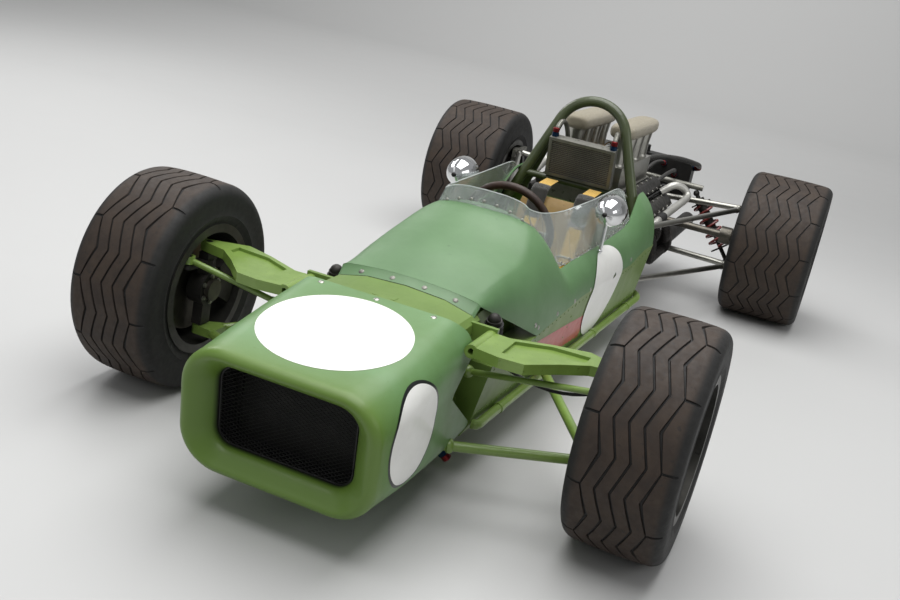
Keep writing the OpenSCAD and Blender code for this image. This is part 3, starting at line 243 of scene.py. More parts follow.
def noiseMask():
    group, source, sink = newGroup(
        "noiseMask",
        [("scale", "NodeSocketFloat", 10.0), ("low", "NodeSocketFloat", 0.4), ("high", "NodeSocketFloat", 0.6)],
        [("mask", "NodeSocketFloat")],
    )
    where = group.nodes.new("ShaderNodeTexCoord")
    noise = group.nodes.new("ShaderNodeTexNoise")
    noise.inputs["Detail"].default_value = 6.0
    noise.inputs["Roughness"].default_value = 0.6
    remap = group.nodes.new("ShaderNodeMapRange")
    linkAll(
        group, (where, "Object", noise, "Vector"), (source, "scale", noise, "Scale"), (noise, "Fac", remap, "Value"),
        (source, "low", remap, "From Min"), (source, "high", remap, "From Max"), (remap, "Result", sink, "mask"),
    )
    return group


def fineRelief():
    group, source, sink = newGroup(
        "fineRelief",
        [("scale", "NodeSocketFloat", 400.0), ("distance", "NodeSocketFloat", 0.0002)],
        [("normal", "NodeSocketVector")],
    )
    where = group.nodes.new("ShaderNodeTexCoord")
    noise = group.nodes.new("ShaderNodeTexNoise")
    noise.inputs["Detail"].default_value = 3.0
    bump = group.nodes.new("ShaderNodeBump")
    bump.inputs["Strength"].default_value = 0.6
    linkAll(
        group, (where, "Object", noise, "Vector"), (source, "scale", noise, "Scale"), (noise, "Fac", bump, "Height"),
        (source, "distance", bump, "Distance"), (bump, "Normal", sink, "normal"),
    )
    return group


def wovenRelief():
    group, source, sink = newGroup(
        "wovenRelief",
        [("scale", "NodeSocketFloat", 300.0), ("distance", "NodeSocketFloat", 0.0006)],
        [("mask", "NodeSocketFloat"), ("normal", "NodeSocketVector")],
    )
    where = group.nodes.new("ShaderNodeTexCoord")
    both = group.nodes.new("ShaderNodeMath")
    both.operation = "MULTIPLY"
    for k, axis in enumerate(("X", "DIAGONAL")):
        wave = group.nodes.new("ShaderNodeTexWave")
        wave.bands_direction = axis
        linkAll(group, (where, "Object", wave, "Vector"), (source, "scale", wave, "Scale"), (wave, "Fac", both, k))
    bump = group.nodes.new("ShaderNodeBump")
    bump.inputs["Strength"].default_value = 0.8
    linkAll(
        group, (both, "Value", bump, "Height"), (source, "distance", bump, "Distance"),
        (both, "Value", sink, "mask"), (bump, "Normal", sink, "normal"),
    )
    return group


groups = {"noise": noiseMask(), "fine": fineRelief(), "woven": wovenRelief()}


def useGroup(tree, key, values):
    node = tree.nodes.new("ShaderNodeGroup")
    node.node_tree = groups[key]
    for name, value in values.items():
        node.inputs[name].default_value = value
    return node


def mixColour(tree, mask, first, second):
    mix = tree.nodes.new("ShaderNodeMix")
    mix.data_type = "RGBA"
    tree.links.new(mask, mix.inputs["Factor"])
    for socket, value in ((mix.inputs["A"], first), (mix.inputs["B"], second)):
        if isinstance(value, tuple):
            socket.default_value = value
        else:
            tree.links.new(value, socket)
    return mix.outputs["Result"]


# Noise values between which tones and gloss change over, scale of the gloss against the patches, edge of worn spots
blends = {"tone": (0.35, 0.65), "gloss": (0.3, 0.7), "glossScale": 3.1, "wornEdge": 0.08}


# A material of two tones mixed by a noise mask, a third tone in its worn spots, uneven gloss and a fine relief
def surface(name, tones, rough, patch=9.0, wear=None, relief=(420.0, 0.0001), fixed=None, woven=False):
    mat = bpy.data.materials.new(name)
    mat.use_nodes = True
    tree = mat.node_tree
    shader = tree.nodes["Principled BSDF"]
    for key, value in (fixed or {}).items():
        shader.inputs[key].default_value = value
    low, high = blends["tone"]
    broad = useGroup(tree, "noise", {"scale": patch, "low": low, "high": high})
    tone = mixColour(tree, broad.outputs["mask"], rgb(tones[0]), rgb(tones[1]))
    if wear:
        worn, scale, low = wear
        spots = useGroup(tree, "noise", {"scale": scale, "low": low, "high": low + blends["wornEdge"]})
        tone = mixColour(tree, spots.outputs["mask"], tone, rgb(worn))
    threads = useGroup(tree, "woven" if woven else "fine", dict(zip(("scale", "distance"), relief)))
    if woven:
        tone = mixColour(tree, threads.outputs["mask"], rgb(tones[1]), tone)
    tree.links.new(tone, shader.inputs["Base Color"])
    gloss = tree.nodes.new("ShaderNodeMapRange")
    gloss.inputs["To Min"].default_value, gloss.inputs["To Max"].default_value = rough
    low, high = blends["gloss"]
    smear = useGroup(tree, "noise", {"scale": patch * blends["glossScale"], "low": low, "high": high})
    linkAll(
        tree, (smear, "mask", gloss, "Value"), (gloss, "Result", shader, "Roughness"),
        (threads, "normal", shader, "Normal"),
    )
    mat.diffuse_color = rgb(tones[0])
    return mat


# A further tone where a value of each point asks for it
def toned(mat, key, colour):
    tree = mat.node_tree
    shader = tree.nodes["Principled BSDF"]
    tone = shader.inputs["Base Color"].links[0].from_socket
    value = tree.nodes.new("ShaderNodeAttribute")
    value.attribute_name = key
    tree.links.new(mixColour(tree, value.outputs["Fac"], tone, rgb(colour)), shader.inputs["Base Color"])


# Columns: two tones, range of roughness, scale of the patches, worn tone with its scale and threshold,
# scale and depth of the relief, fixed values of the shader, woven
paints = {
    # the nose's two tones are bluer than its yellow-green paint: a painted reflection
    "nosePaint": (("#587c42", "#648a57"), (0.42, 0.54), 5.0, ("#4f7038", 46.0, 0.66),
        (900.0, 0.00004), {"Coat Weight": 0.2, "Coat Roughness": 0.3}),
    "cowlPaint": (("#517549", "#5b7f53"), (0.42, 0.54), 5.0, ("#486a42", 46.0, 0.66),
        (900.0, 0.00004), {"Coat Weight": 0.2, "Coat Roughness": 0.3}),
    "tubPaint": (("#5f7a31", "#6a853c"), (0.4, 0.52), 6.0, ("#57732f", 60.0, 0.64),
        (700.0, 0.00006), {"Coat Weight": 0.2, "Coat Roughness": 0.3}),
    "armPaint": (("#6d883c", "#799446"), (0.3, 0.44), 12.0, ("#566f2c", 90.0, 0.64),
        (800.0, 0.00006), {"Coat Weight": 0.3, "Coat Roughness": 0.2}),
    "hoopPaint": (("#363f22", "#414a2b"), (0.3, 0.42), 14.0, ("#2e3820", 70.0, 0.64),
        (700.0, 0.00006), {"Coat Weight": 0.3, "Coat Roughness": 0.18}),
    "blackMetal": (("#161615", "#232220"), (0.42, 0.6), 20.0, ("#3b3833", 80.0, 0.66),
        (500.0, 0.0001), {"Metallic": 0.4}),
    "meshMetal": (("#0d0d0d", "#191918"), (0.4, 0.55), 30.0, None, (900.0, 0.00005), {"Metallic": 0.3}),
    "castMetal": (("#77766f", "#8b8a83"), (0.4, 0.58), 15.0, ("#4d4b45", 50.0, 0.62),
        (380.0, 0.0003), {"Metallic": 0.8}),
    "darkCast": (("#2b2a28", "#3a3835"), (0.45, 0.62), 15.0, ("#55524c", 70.0, 0.66),
        (380.0, 0.0003), {"Metallic": 0.55}),
    "steel": (("#9d9c95", "#adaca5"), (0.28, 0.38), 12.0, ("#86837b", 30.0, 0.66),
        (300.0, 0.00001), {"Metallic": 1.0}),
    "bright": (("#d9dadb", "#e6e7e8"), (0.05, 0.12), 25.0, None, (500.0, 0.00002), {"Metallic": 1.0}),
    "discIron": (("#55524c", "#66625a"), (0.3, 0.45), 30.0, ("#4a3d32", 60.0, 0.62),
        (700.0, 0.0001), {"Metallic": 0.9}),
    "rimAlloy": (("#3d3c39", "#4b4a46"), (0.36, 0.5), 14.0, ("#2a2826", 60.0, 0.64),
        (500.0, 0.0001), {"Metallic": 0.75}),
    "exhaustBlack": (("#1d1b1a", "#2b2724"), (0.55, 0.72), 12.0, ("#4a3a2e", 40.0, 0.62),
        (420.0, 0.0002), {"Metallic": 0.35}),
    "springRed": (("#6f1f1b", "#7f2a24"), (0.32, 0.45), 40.0, ("#471512", 120.0, 0.64),
        (600.0, 0.0001), {"Coat Weight": 0.2}),
    "rubber": (("#121212", "#1c1b1a"), (0.6, 0.75), 40.0, None, (700.0, 0.0001)),
    "leather": (("#27170e", "#352114"), (0.42, 0.58), 30.0, ("#4a3120", 70.0, 0.66), (1400.0, 0.00035)),
    "seatHide": (("#7d6129", "#8b6f34"), (0.5, 0.66), 12.0, ("#6a5122", 30.0, 0.62),
        (1200.0, 0.0004), {"Sheen Weight": 0.25}),
    "webbing": (("#c79a2e", "#d6ab3f"), (0.7, 0.82), 24.0, ("#9d7a26", 40.0, 0.64),
        (420.0, 0.0005), {"Sheen Weight": 0.3}, True),
    "padCloth": (("#15140f", "#211f19"), (0.75, 0.88), 20.0, ("#322f27", 50.0, 0.62),
        (520.0, 0.0006), {"Sheen Weight": 0.3}, True),
    "signWhite": (("#e9e9e4", "#f2f2ee"), (0.3, 0.4), 10.0, ("#d4d3cb", 40.0, 0.68),
        (900.0, 0.00003), {"Coat Weight": 0.3}),
    "signBlack": (("#141617", "#1d2021"), (0.3, 0.4), 10.0, None, (900.0, 0.00003), {"Coat Weight": 0.3}),
    "signRed": (("#a5231f", "#b42d27"), (0.3, 0.42), 10.0, ("#8a1c19", 40.0, 0.66),
        (900.0, 0.00003), {"Coat Weight": 0.3}),
    "fittingRed": (("#5a1516", "#681c1d"), (0.34, 0.46), 40.0, None, (600.0, 0.00004), {"Metallic": 0.85}),
    "fittingBlue": (("#12283f", "#183450"), (0.34, 0.46), 40.0, None, (600.0, 0.00004), {"Metallic": 0.85}),
    "braid": (("#2b2b2a", "#454442"), (0.4, 0.55), 60.0, None, (900.0, 0.0004), {"Metallic": 0.5}, True),
    "gauze": (("#7d7563", "#918975"), (0.6, 0.75), 28.0, ("#6a6353", 40.0, 0.6),
        (900.0, 0.0006), {"Sheen Weight": 0.2}, True),
    "finMetal": (("#7f7c69", "#918e7b"), (0.45, 0.58), 20.0, None, (500.0, 0.00005), {"Metallic": 0.35}),
    "pipeAlloy": (("#b4b3ad", "#c3c2bc"), (0.36, 0.46), 14.0, ("#96948c", 40.0, 0.66),
        (300.0, 0.00002), {"Metallic": 0.7}),
    "brass": (("#7a6136", "#8c7144"), (0.3, 0.42), 30.0, None, (400.0, 0.00003), {"Metallic": 0.9}),
    # pale tone of the screen's edge bead: a painted highlight on the acrylic edge
    "bead": (("#aab1ad", "#b9c0bc"), (0.15, 0.25), 30.0, None, (500.0, 0.00003), {"Coat Weight": 0.5}),
    "darkBoard": (("#1b1a19", "#262523"), (0.45, 0.6), 20.0, None, (600.0, 0.0001)),
    "dialFace": (("#0f0f10", "#18181a"), (0.2, 0.3), 60.0, None, (600.0, 0.00004), {"Coat Weight": 0.6}),
}
mats = {name: surface(name, *row) for name, row in paints.items()}
# clear acrylic: light passes, with faint haze in its gloss
mats["clear"] = surface("clearScreen", ("#dfe6e4", "#eaf0ee"), (0.03, 0.07), 12.0, None, (300.0, 0.00001),
                        {"Transmission Weight": 0.8, "IOR": 1.3})
# painted shade: a darker, yellower tone over the lip, and black in the duct behind the mesh
toned(mats["nosePaint"], "lip", "#587626")
toned(mats["nosePaint"], "deep", "#0c0c0b")
print("stage materials done")

finishes = {
    "tub": "tubPaint", "nose_cone": "nosePaint", "grille_mesh": "meshMetal", "front_radiator": "blackMetal",
    "cockpit_cowl": "cowlPaint", "windscreen": "clear", "mirrors": "bright", "dash_panel": "darkBoard",
    "steering_wheel": "leather", "steering_rack": "castMetal", "tie_rods": "armPaint", "roll_hoop": "hoopPaint",
    "hoop_cooler": "castMetal", "engine_block": "castMetal", "cam_covers": "darkCast", "intake_trumpets": "steel",
    "exhausts": "exhaustBlack", "gearbox": "castMetal", "rear_oil_tank": "blackMetal", "side_pipes": "armPaint",
    "front_upper_arms": "armPaint", "front_lower_wishbones": "armPaint", "rear_links": "steel",
    "dampers": "darkCast", "springs": "springRed", "rear_uprights": "castMetal", "upright_left": "darkCast",
    "upright_right": "darkCast", "disc_front_left": "discIron", "disc_front_right": "discIron",
    "half_shaft_left": "discIron", "half_shaft_right": "discIron", "rim_front_left": "rimAlloy",
    "rim_front_right": "rimAlloy", "rim_rear_left": "rimAlloy", "rim_rear_right": "rimAlloy",
}
for name, key in finishes.items():
    piece = nodes[name]
    piece.data.materials.clear()
    piece.data.materials.append(mats[key])
print("stage node finishes done")

# Camera at the photograph's view: heading, tilt and roll in radians, focal length and picture's width in pixels
view = {
    "place": (3.55751, 0.96499, 1.28118), "yaw": 3.4779547, "pitch": -0.3111918, "roll": -0.1935299,
    "focal": 1086.944, "width": 900, "sensor": 36, "far": 200,
}


def addCamera(s):
    flat = math.cos(s["pitch"])
    ahead = Vector((math.cos(s["yaw"]) * flat, math.sin(s["yaw"]) * flat, math.sin(s["pitch"])))
    level = Vector((math.sin(s["yaw"]), -math.cos(s["yaw"]), 0))
    below = ahead.cross(level)
    right = math.cos(s["roll"]) * level + math.sin(s["roll"]) * below
    down = -math.sin(s["roll"]) * level + math.cos(s["roll"]) * below
    camera = bpy.data.cameras.new("camera")
    camera.sensor_width = s["sensor"]
    camera.lens = s["sensor"] * s["focal"] / s["width"]
    camera.clip_end = s["far"]
    spot = bpy.data.objects.new("camera", camera)
    turn = Matrix((right, -down, -ahead)).transposed().to_4x4()
    spot.matrix_world = Matrix.Translation(s["place"]) @ turn
    bpy.context.scene.collection.objects.link(spot)
    bpy.context.scene.camera = spot


addCamera(view)

# Pale floor that sweeps up into a backdrop far behind the car
room = {"front": 14.0, "back": -9.0, "bend": 4.0, "half": 16.0, "wall": 9.0, "floor": "#bcbcbb"}


def addRoom(s):
    bend = np.linspace(0, math.pi / 2, 24)
    line = np.vstack([
        [[s["front"], 0.0]],
        np.stack([s["back"] - s["bend"] * np.sin(bend), s["bend"] * (1 - np.cos(bend))], 1),
        [[s["back"] - s["bend"], s["wall"]]],
    ])
    side = np.linspace(-s["half"], s["half"], 9)
    points = np.array([[x, y, z] for x, z in line for y in side])
    mesh = bpy.data.meshes.new("room")
    mesh.from_pydata(points.tolist(), [], gridFaces(len(line), len(side)))
    mesh.polygons.foreach_set("use_smooth", [True] * len(mesh.polygons))
    mesh.materials.append(surface("roomPaper", (s["floor"], s["floor"]), (0.55, 0.62), 1.0, None, (40.0, 0.0002)))
    floor = bpy.data.objects.new("room", mesh)
    bpy.context.scene.collection.objects.link(floor)


addRoom(room)

# Soft lights: place, point they face, size, power. The sky: colour and strength
sky = ((0.86, 0.87, 0.88, 1), 0.38)
lamps = {
    "over": ((0.6, 0.0, 4.4), (0.6, 0.0, 0.0), (6.5, 3.8), 300.0),
    "front": ((5.5, -3.5, 3.2), (0.8, 0.0, 0.3), (3.2, 2.4), 17.0),
    "side": ((0.6, 5.6, 3.0), (0.3, 0.0, 0.3), (4.5, 2.0), 42.0),
    "glow": ((-2.0, -4.4, 3.4), (-1.9, -3.5, 0.0), (3.4, 2.4), 108.0),
    "back": ((-6.5, -2.0, 6.5), (-12.5, -2.5, 3.0), (9.0, 5.0), 420.0),
}


def addLamps(s):
    for name, (place, goal, size, power) in s.items():
        lamp = bpy.data.lights.new(name, "AREA")
        lamp.shape = "RECTANGLE"
        lamp.size, lamp.size_y = size
        lamp.energy = power
        spot = bpy.data.objects.new(name, lamp)
        turn = (Vector(goal) - Vector(place)).to_track_quat("-Z", "Y")
        spot.matrix_world = Matrix.Translation(place) @ turn.to_matrix().to_4x4()
        bpy.context.scene.collection.objects.link(spot)
    world = bpy.data.worlds.new("studio")
    world.use_nodes = True
    glow = world.node_tree.nodes["Background"]
    glow.inputs["Color"].default_value, glow.inputs["Strength"].default_value = sky
    bpy.context.scene.world = world
    bpy.context.scene.view_settings.view_transform = "Standard"


addLamps(lamps)
print("stage camera and light done")

# Brake hoses: the solids' own route, in millimetres from the front axle
hose = {
    "route": [
        [0, 206, 352], [0, 222, 352], [-2, 246, 350], [-3, 272, 344], [-4, 300, 336], [-5, 330, 327],
        [-6, 360, 320], [-6, 390, 316], [-6, 420, 315], [-6, 450, 318], [-5, 476, 324], [-4, 500, 332],
        [-3, 520, 340], [-1, 536, 345], [0, 548, 347], [0, 558, 347],
    ],
    "diameter": 0.009,
    # a nut's radius, and the share of its span
    "nut": [(0.0052, 0), (0.0085, 0), (0.0085, 0.6), (0.0062, 0.65), (0.0062, 1), (0.0052, 1)],
    "nutFoot": 0.0005, "nutSpan": 0.018, "endSpan": 0.016,
}


def addHoses(s):
    for side, sign in sides:
        path = at(onSide(s["route"], sign))
        piece = addPiece("brakeHose" + side.title(), *tube(path, s["diameter"] / 2, 12), mats["rubber"])
        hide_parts("brake_hose_" + side)
        # a nut where the hose leaves the chassis, and one that turns with the knuckle
        ends = (
            ("hoseNut", path[0], path[1] - path[0], s["nutSpan"], "chassis"),
            ("hoseEnd", path[-1], path[-2] - path[-1], s["endSpan"], "knuckle_" + side),
        )
        for name, spot, way, span, body in ends:
            profile = [(r, max(h * span, s["nutFoot"])) for r, h in s["nut"]]
            addPiece(name + side.title(), *lathe(profile, spot, way, 6), mats["steel"], body, smooth=False)


addHoses(hose)
print("stage brake hoses done")

# Tyres: the solids' section, with zigzag grooves and side branches cut in the tread, in millimetres
tyres = {
    "front": {
        "hub": (0, 675, 290), "outer": 290.0, "width": 243.0,
        "grooves": (-68, -34, 0, 34, 68), "periods": 11, "swing": 14.0,
    },
    "rear": {
        "hub": (-2400, 700, 308), "outer": 308.0, "width": 330.0,
        "grooves": (-105, -63, -21, 21, 63, 105), "periods": 12, "swing": 18.0,
    },
    "shoulder": 34.0, "shoulderTurn": (84, 8, 9), "edgeSteps": 5, "crown": 3.0,
    "slot": 5.0, "slotEdge": 0.8, "depth": 5.0,
    # sidewall from the shoulder to the bead: distance from the belly or the flange, and inset from the half width
    "belly": 0.55, "bellyRows": [(14, 0.0), (6, 0.0), (0, 0.0), (-10, 0.4)],
    "flange": 182.0, "flangeRows": [(27, 0.9), (23, -0.6), (19, 1.5), (12, 5.5), (6, 8.5), (1, 8.5)],
    "bead": (165.3, 13.5),
    # rows of points in one period, closer at the two branches, and where the branches lie
    "rows": (0.0, 0.06, 0.12, 0.18, 0.228, 0.238, 0.262, 0.272, 0.33, 0.39, 0.45, 0.5,
             0.55, 0.61, 0.67, 0.728, 0.738, 0.762, 0.772, 0.83, 0.88, 0.94),
    "branches": (0.25, 0.75), "branchHalf": 0.013, "branchEnd": 8.0, "branchDepth": 4.0,
    # past the outer groove the zigzag fades, and past the flat tread its tone does, over these lengths
    "fadeSpare": 4.0, "toneFade": (6.0, 18.0), "wallTones": ("#0e0e0d", "#191817"), "wallPatch": 30.0,
}


# Tread brown with dust, dark in grooves, grey black on the sidewalls, by the tread value of each point
def rubberMaterial(s):
    mat = surface("tyreRubber", ("#2a2019", "#372b21"), (0.62, 0.78), 22.0, ("#261f1a", 70.0, 0.6), (520.0, 0.0005))
    tree = mat.node_tree
    shader = tree.nodes["Principled BSDF"]
    tone = shader.inputs["Base Color"].links[0].from_socket
    value = tree.nodes.new("ShaderNodeAttribute")
    value.attribute_name = "tread"
    low, high = blends["gloss"]
    dark = useGroup(tree, "noise", {"scale": s["wallPatch"], "low": low, "high": high})
    wall = mixColour(tree, dark.outputs["mask"], *(rgb(tone) for tone in s["wallTones"]))
    tree.links.new(mixColour(tree, value.outputs["Fac"], wall, tone), shader.inputs["Base Color"])
    return mat


# Columns across the tread, each with its share of the grooves' depth; half of the flat tread; outer grooves' edge
def tyreColumns(s, t):
    slot, edge = s["slot"] / 2, s["slotEdge"]
    flat = t["width"] / 2 - s["shoulder"]
    cols = []
    for g in t["grooves"]:
        cols += [(g - slot - edge, 0), (g - slot + edge, 1), (g + slot - edge, 1), (g + slot + edge, 0)]
    cols += [((a + b) / 2, 0) for a, b in zip(t["grooves"][:-1], t["grooves"][1:])]
    outer = t["grooves"][-1] + slot + edge
    cols += [(sign * y, 0) for y in np.linspace(outer, flat, s["edgeSteps"])[1:] for sign in (-1, 1)]
    return np.array(sorted(cols), float), flat, outer


# One half of the section from the tread's edge to the bead: radius and offset
def tyreSide(s, t):
    half, bend = t["width"] / 2, s["shoulder"]
    # shoulder: radius R - 34 + 31 sin a, offset h - 34 + 34 cos a
    turn = np.radians(np.linspace(*s["shoulderTurn"]))
    rise = t["outer"] - bend + (bend - s["crown"]) * np.sin(turn)
    out = half - bend + bend * np.cos(turn)
    belly = s["flange"] + s["belly"] * (t["outer"] - s["flange"])
    wall = [(belly + r, inset) for r, inset in s["bellyRows"]]
    wall += [(s["flange"] + r, inset) for r, inset in s["flangeRows"]] + [s["bead"]]
    wall = np.array(wall, float)
    return np.concatenate([rise, wall[:, 0]]), np.concatenate([out, half - wall[:, 1]])


def addTyres(s):
    mat = rubberMaterial(s)
    for end in ("front", "rear"):
        t = s[end]
        cols, flat, outer = tyreColumns(s, t)
        sideR, sideY = tyreSide(s, t)
        treadR = t["outer"] - s["crown"] * (cols[:, 0] / flat) ** 2
        y = np.concatenate([-sideY[::-1], cols[:, 0], sideY])
        r = np.concatenate([sideR[::-1], treadR, sideR])
        plain = np.zeros(len(sideR))
        slotDepth = np.concatenate([plain, cols[:, 1] * s["depth"], plain])
        # swing of a column: triangle wave of the angle, fading out from the outer groove to the shoulder
        fade = np.clip((flat - np.abs(y)) / (flat - outer + s["fadeSpare"]), 0, 1)
        rows = np.concatenate([k + np.array(s["rows"]) for k in range(t["periods"])])
        phase = rows % 1
        wave = 1 - 4 * np.abs((phase + 0.25) % 1 - 0.5)
        angle = 2 * math.pi * rows / t["periods"]
        # branches run from the outer grooves over the shoulder, on either side in turn
        beside = (np.abs(y) > outer - 0.5) & (np.abs(y) < t["width"] / 2 - s["branchEnd"])
        branch = np.zeros((len(rows), len(y)), bool)
        for mid, onIt in zip(s["branches"], (y > 0, y < 0)):
            branch |= (np.abs(phase - mid) < s["branchHalf"])[:, None] & (beside & onIt)[None]
        depth = np.maximum(slotDepth[None], branch * s["branchDepth"])
        radius = r[None] - depth
        offset = y[None] + t["swing"] * wave[:, None] * fade[None]
        tread = np.interp(np.abs(y) - flat, s["toneFade"], (1, 0))[None] * (depth < 1)
        for side, sign in sides:
            points = onSide(t["hub"], sign) + np.stack([
                radius * np.cos(angle)[:, None], sign * offset, radius * np.sin(angle)[:, None]], 2)
            piece = addPiece("tyre" + end.title() + side.title(), at(points.reshape(-1, 3)),
                             gridFaces(len(rows), len(y), wrapRows=True, wrapCols=True), mat,
                             "wheel_" + end + "_" + side, values={"tread": tread.ravel()})
            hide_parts("tyre_" + end + "_" + side)


addTyres(tyres)
print("stage tyres done")


# Points of a rounded rectangle, anticlockwise from the middle of its right side's foot
def roundedRing(half, low, high, r, corner=12, up=14, over=10):
    def arc(y, z, start):
        a = np.radians(start + np.linspace(0, 90, corner))
        return np.stack([y + r * np.cos(a), z + r * np.sin(a)], 1)

    rise = np.linspace(low + r, high - r, up + 2)[1:-1]
    run = np.linspace(half - r, r - half, over + 2)[1:-1]
    return np.vstack([
        np.stack([np.full(up, half), rise], 1), arc(half - r, high - r, 0),
        np.stack([run, np.full(over, high)], 1), arc(r - half, high - r, 90),
        np.stack([np.full(up, -half), rise[::-1]], 1), arc(r - half, low + r, 180),
        np.stack([run[::-1], np.full(over, low)], 1), arc(half - r, low + r, 270),
    ])


# Wall between an outer and an inner grid, with the cells that keep asks for
def sheetSolid(outer, inner, keep):
    m, n = outer.shape[:2]
    total = m * n
    faces = []

    def has(i, j):
        return 0 <= i < m - 1 and 0 <= j < n - 1 and keep[i, j]

    for i in range(m - 1):
        for j in range(n - 1):
            if not keep[i, j]:
                continue
            a, b, c, d = i * n + j, i * n + j + 1, (i + 1) * n + j, (i + 1) * n + j + 1
            faces += [[a, b, d, c], [a + total, c + total, d + total, b + total]]
            rims = (((i - 1, j), b, a), ((i + 1, j), c, d), ((i, j - 1), a, c), ((i, j + 1), d, b))
            faces += [[p, q, q + total, p + total] for beside, p, q in rims if not has(*beside)]
    return np.vstack([outer.reshape(-1, 3), inner.reshape(-1, 3)]), faces


# Nose: the solid's own sections drawn finer, as a loop of rings from the rear edge over the lip, into the duct
# and back
noseSkin = {
    "reach": 590.0, "lean": 36.0, "roll": 15.0, "low": 107.0, "high": 406.0, "skin": 5.0, "lip": 14.0,
    # rear edge: height and x
    "rear": [(100, -8), (165, -8), (282, 158), (372, 63), (441, 113), (470, 150)],
    # share of the way aft or depth in the duct, half width, low, high, corner
    "sections": [(0, 240, 107, 406, 98), (0.3, 245, 102, 424, 90), (0.65, 244, 102, 446, 80), (1, 232, 106, 467, 64)],
    "duct": [(0, 225, 122, 391, 84), (10, 206, 135, 378, 72), (34, 182, 159, 364, 54), (62, 168, 165, 358, 40),
             (112, 166, 166, 357, 36)],
    "shares": (1, 0.97, 0.86, 0.72, 0.58, 0.44, 0.3, 0.17, 0.06, 0),
    # rings where the lip's painted shade sets in and is full, and depths where the duct's black painted shade does
    "lipShadeRings": (6.5, 9.0), "ductShadeAt": (44.0, 52.0),
    # joint strip: x and rise over the front box, whose top is given by half width and height
    "tongue": [(94, 1.2), (127, 1.2), (140, -0.2), (156, -2.0), (170, -4.0)], "tongueHalf": 166.0,
    "tongueSteps": 31, "tongueThick": 1.0,
    "box": [(0, 461), (110, 455), (186, 437), (200, 424)],
    # lower wishbone's front leg from its inner to its outer end, and the sleeve on it
    "leg": ((145.0, 205.0, 150.0), (10.0, 530.0, 172.0)), "sleeveAt": 0.115,
    "sleeve": [(0.0132, -0.012), (0.018, -0.008), (0.019, 0.0), (0.016, 0.005), (0.0132, 0.007)],
}


def lipAt(s, z):
    return s["reach"] - s["lean"] * (s["high"] - s["roll"] - z) / (s["high"] - s["low"])


def addNose(s):
    table = np.array(s["sections"], float)
    rear = np.array(s["rear"], float)

    def shell(share, inset):
        half, low, high, r = (np.interp(share, table[:, 0], table[:, k]) for k in range(1, 5))
        ring = roundedRing(half - inset, low + inset, high - inset, r - inset)
        front = lipAt(s, ring[:, 1]) - s["lip"] - inset
        x = (1 - share) * front + share * np.interp(ring[:, 1], rear[:, 0], rear[:, 1])
        return np.column_stack([x, ring])

    def duct(row, inset):
        ring = roundedRing(row[1] + inset, row[2] - inset, row[3] + inset, row[4] + inset)
        return np.column_stack([lipAt(s, ring[:, 1]) - row[0], ring])

    outside = [shell(k, 0) for k in s["shares"]] + [duct(row, 0) for row in s["duct"]]
    inside = [duct(row, s["skin"]) for row in s["duct"][:1:-1]]
    inside += [shell(k, s["skin"]) for k in s["shares"][::-1]]
    count, last = len(outside[0]), len(outside) - 1
    smooth = [smoothRoute(np.array(rings).reshape(len(rings), -1), per) for rings, per in ((outside, 4), (inside, 2))]
    rows = np.vstack(smooth).reshape(-1, count, 3)
    # darker, yellower tone from the front of the shell over the lip, a painted shade; black in the duct behind the
    # mesh, a painted shade in the recess
    mark = np.concatenate([np.linspace(0, last, len(smooth[0])), np.full(len(smooth[1]), float(last))])
    depth = np.interp(mark, np.arange(len(s["shares"]), len(outside)), [row[0] for row in s["duct"]])
    values = {
        "lip": np.repeat(np.interp(mark, s["lipShadeRings"], (0, 1)), count),
        "deep": np.repeat(np.interp(depth, s["ductShadeAt"], (0, 1)), count),
    }
    piece = addPiece("noseSkin", at(rows.reshape(-1, 3)), gridFaces(len(rows), count, True, True),
                     mats["nosePaint"], values=values)
    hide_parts("nose_cone")
    skins["nose_cone"] = piece
    legs = []
    for _, sign in sides:
        # sleeve where the lower wishbone's front leg passes the nose's side
        inner, outer = onSide(s["leg"], sign)
        legs.append(lathe(s["sleeve"], at(inner + (outer - inner) * s["sleeveAt"]), outer - inner, 20))
    addPiece("legSleeves", *joined(legs), mats["armPaint"])
    # strip that bridges the joint from the front box to the underside of the nose
    line = smoothRoute([(x, 0, z) for x, z in s["tongue"]], 4)
    box = np.array(s["box"], float)
    y = np.linspace(-s["tongueHalf"], s["tongueHalf"], s["tongueSteps"])
    top = np.stack([0 * y, y, np.interp(np.abs(y), box[:, 0], box[:, 1])], 1)
    grid = line[:, None] + top[None]
    every = np.ones((len(line) - 1, len(y) - 1), bool)
    strip = sheetSolid(at(grid), at(grid - [0, 0, s["tongueThick"]]), every)
    addPiece("noseStrip", *strip, mats["tubPaint"])


addNose(noseSkin)

# Intake mesh: two families of thin wires, cut to the duct, in a rolled edge
intakeMesh = {
    "mid": 261.5, "depth": 56.0, "half": 166.5, "rise": 96.0, "corner": 37.0,
    "pitch": 8.5, "slant": 32.0, "steps": 700, "apart": 0.7, "wire": 0.0009, "edge": 0.0026,
}


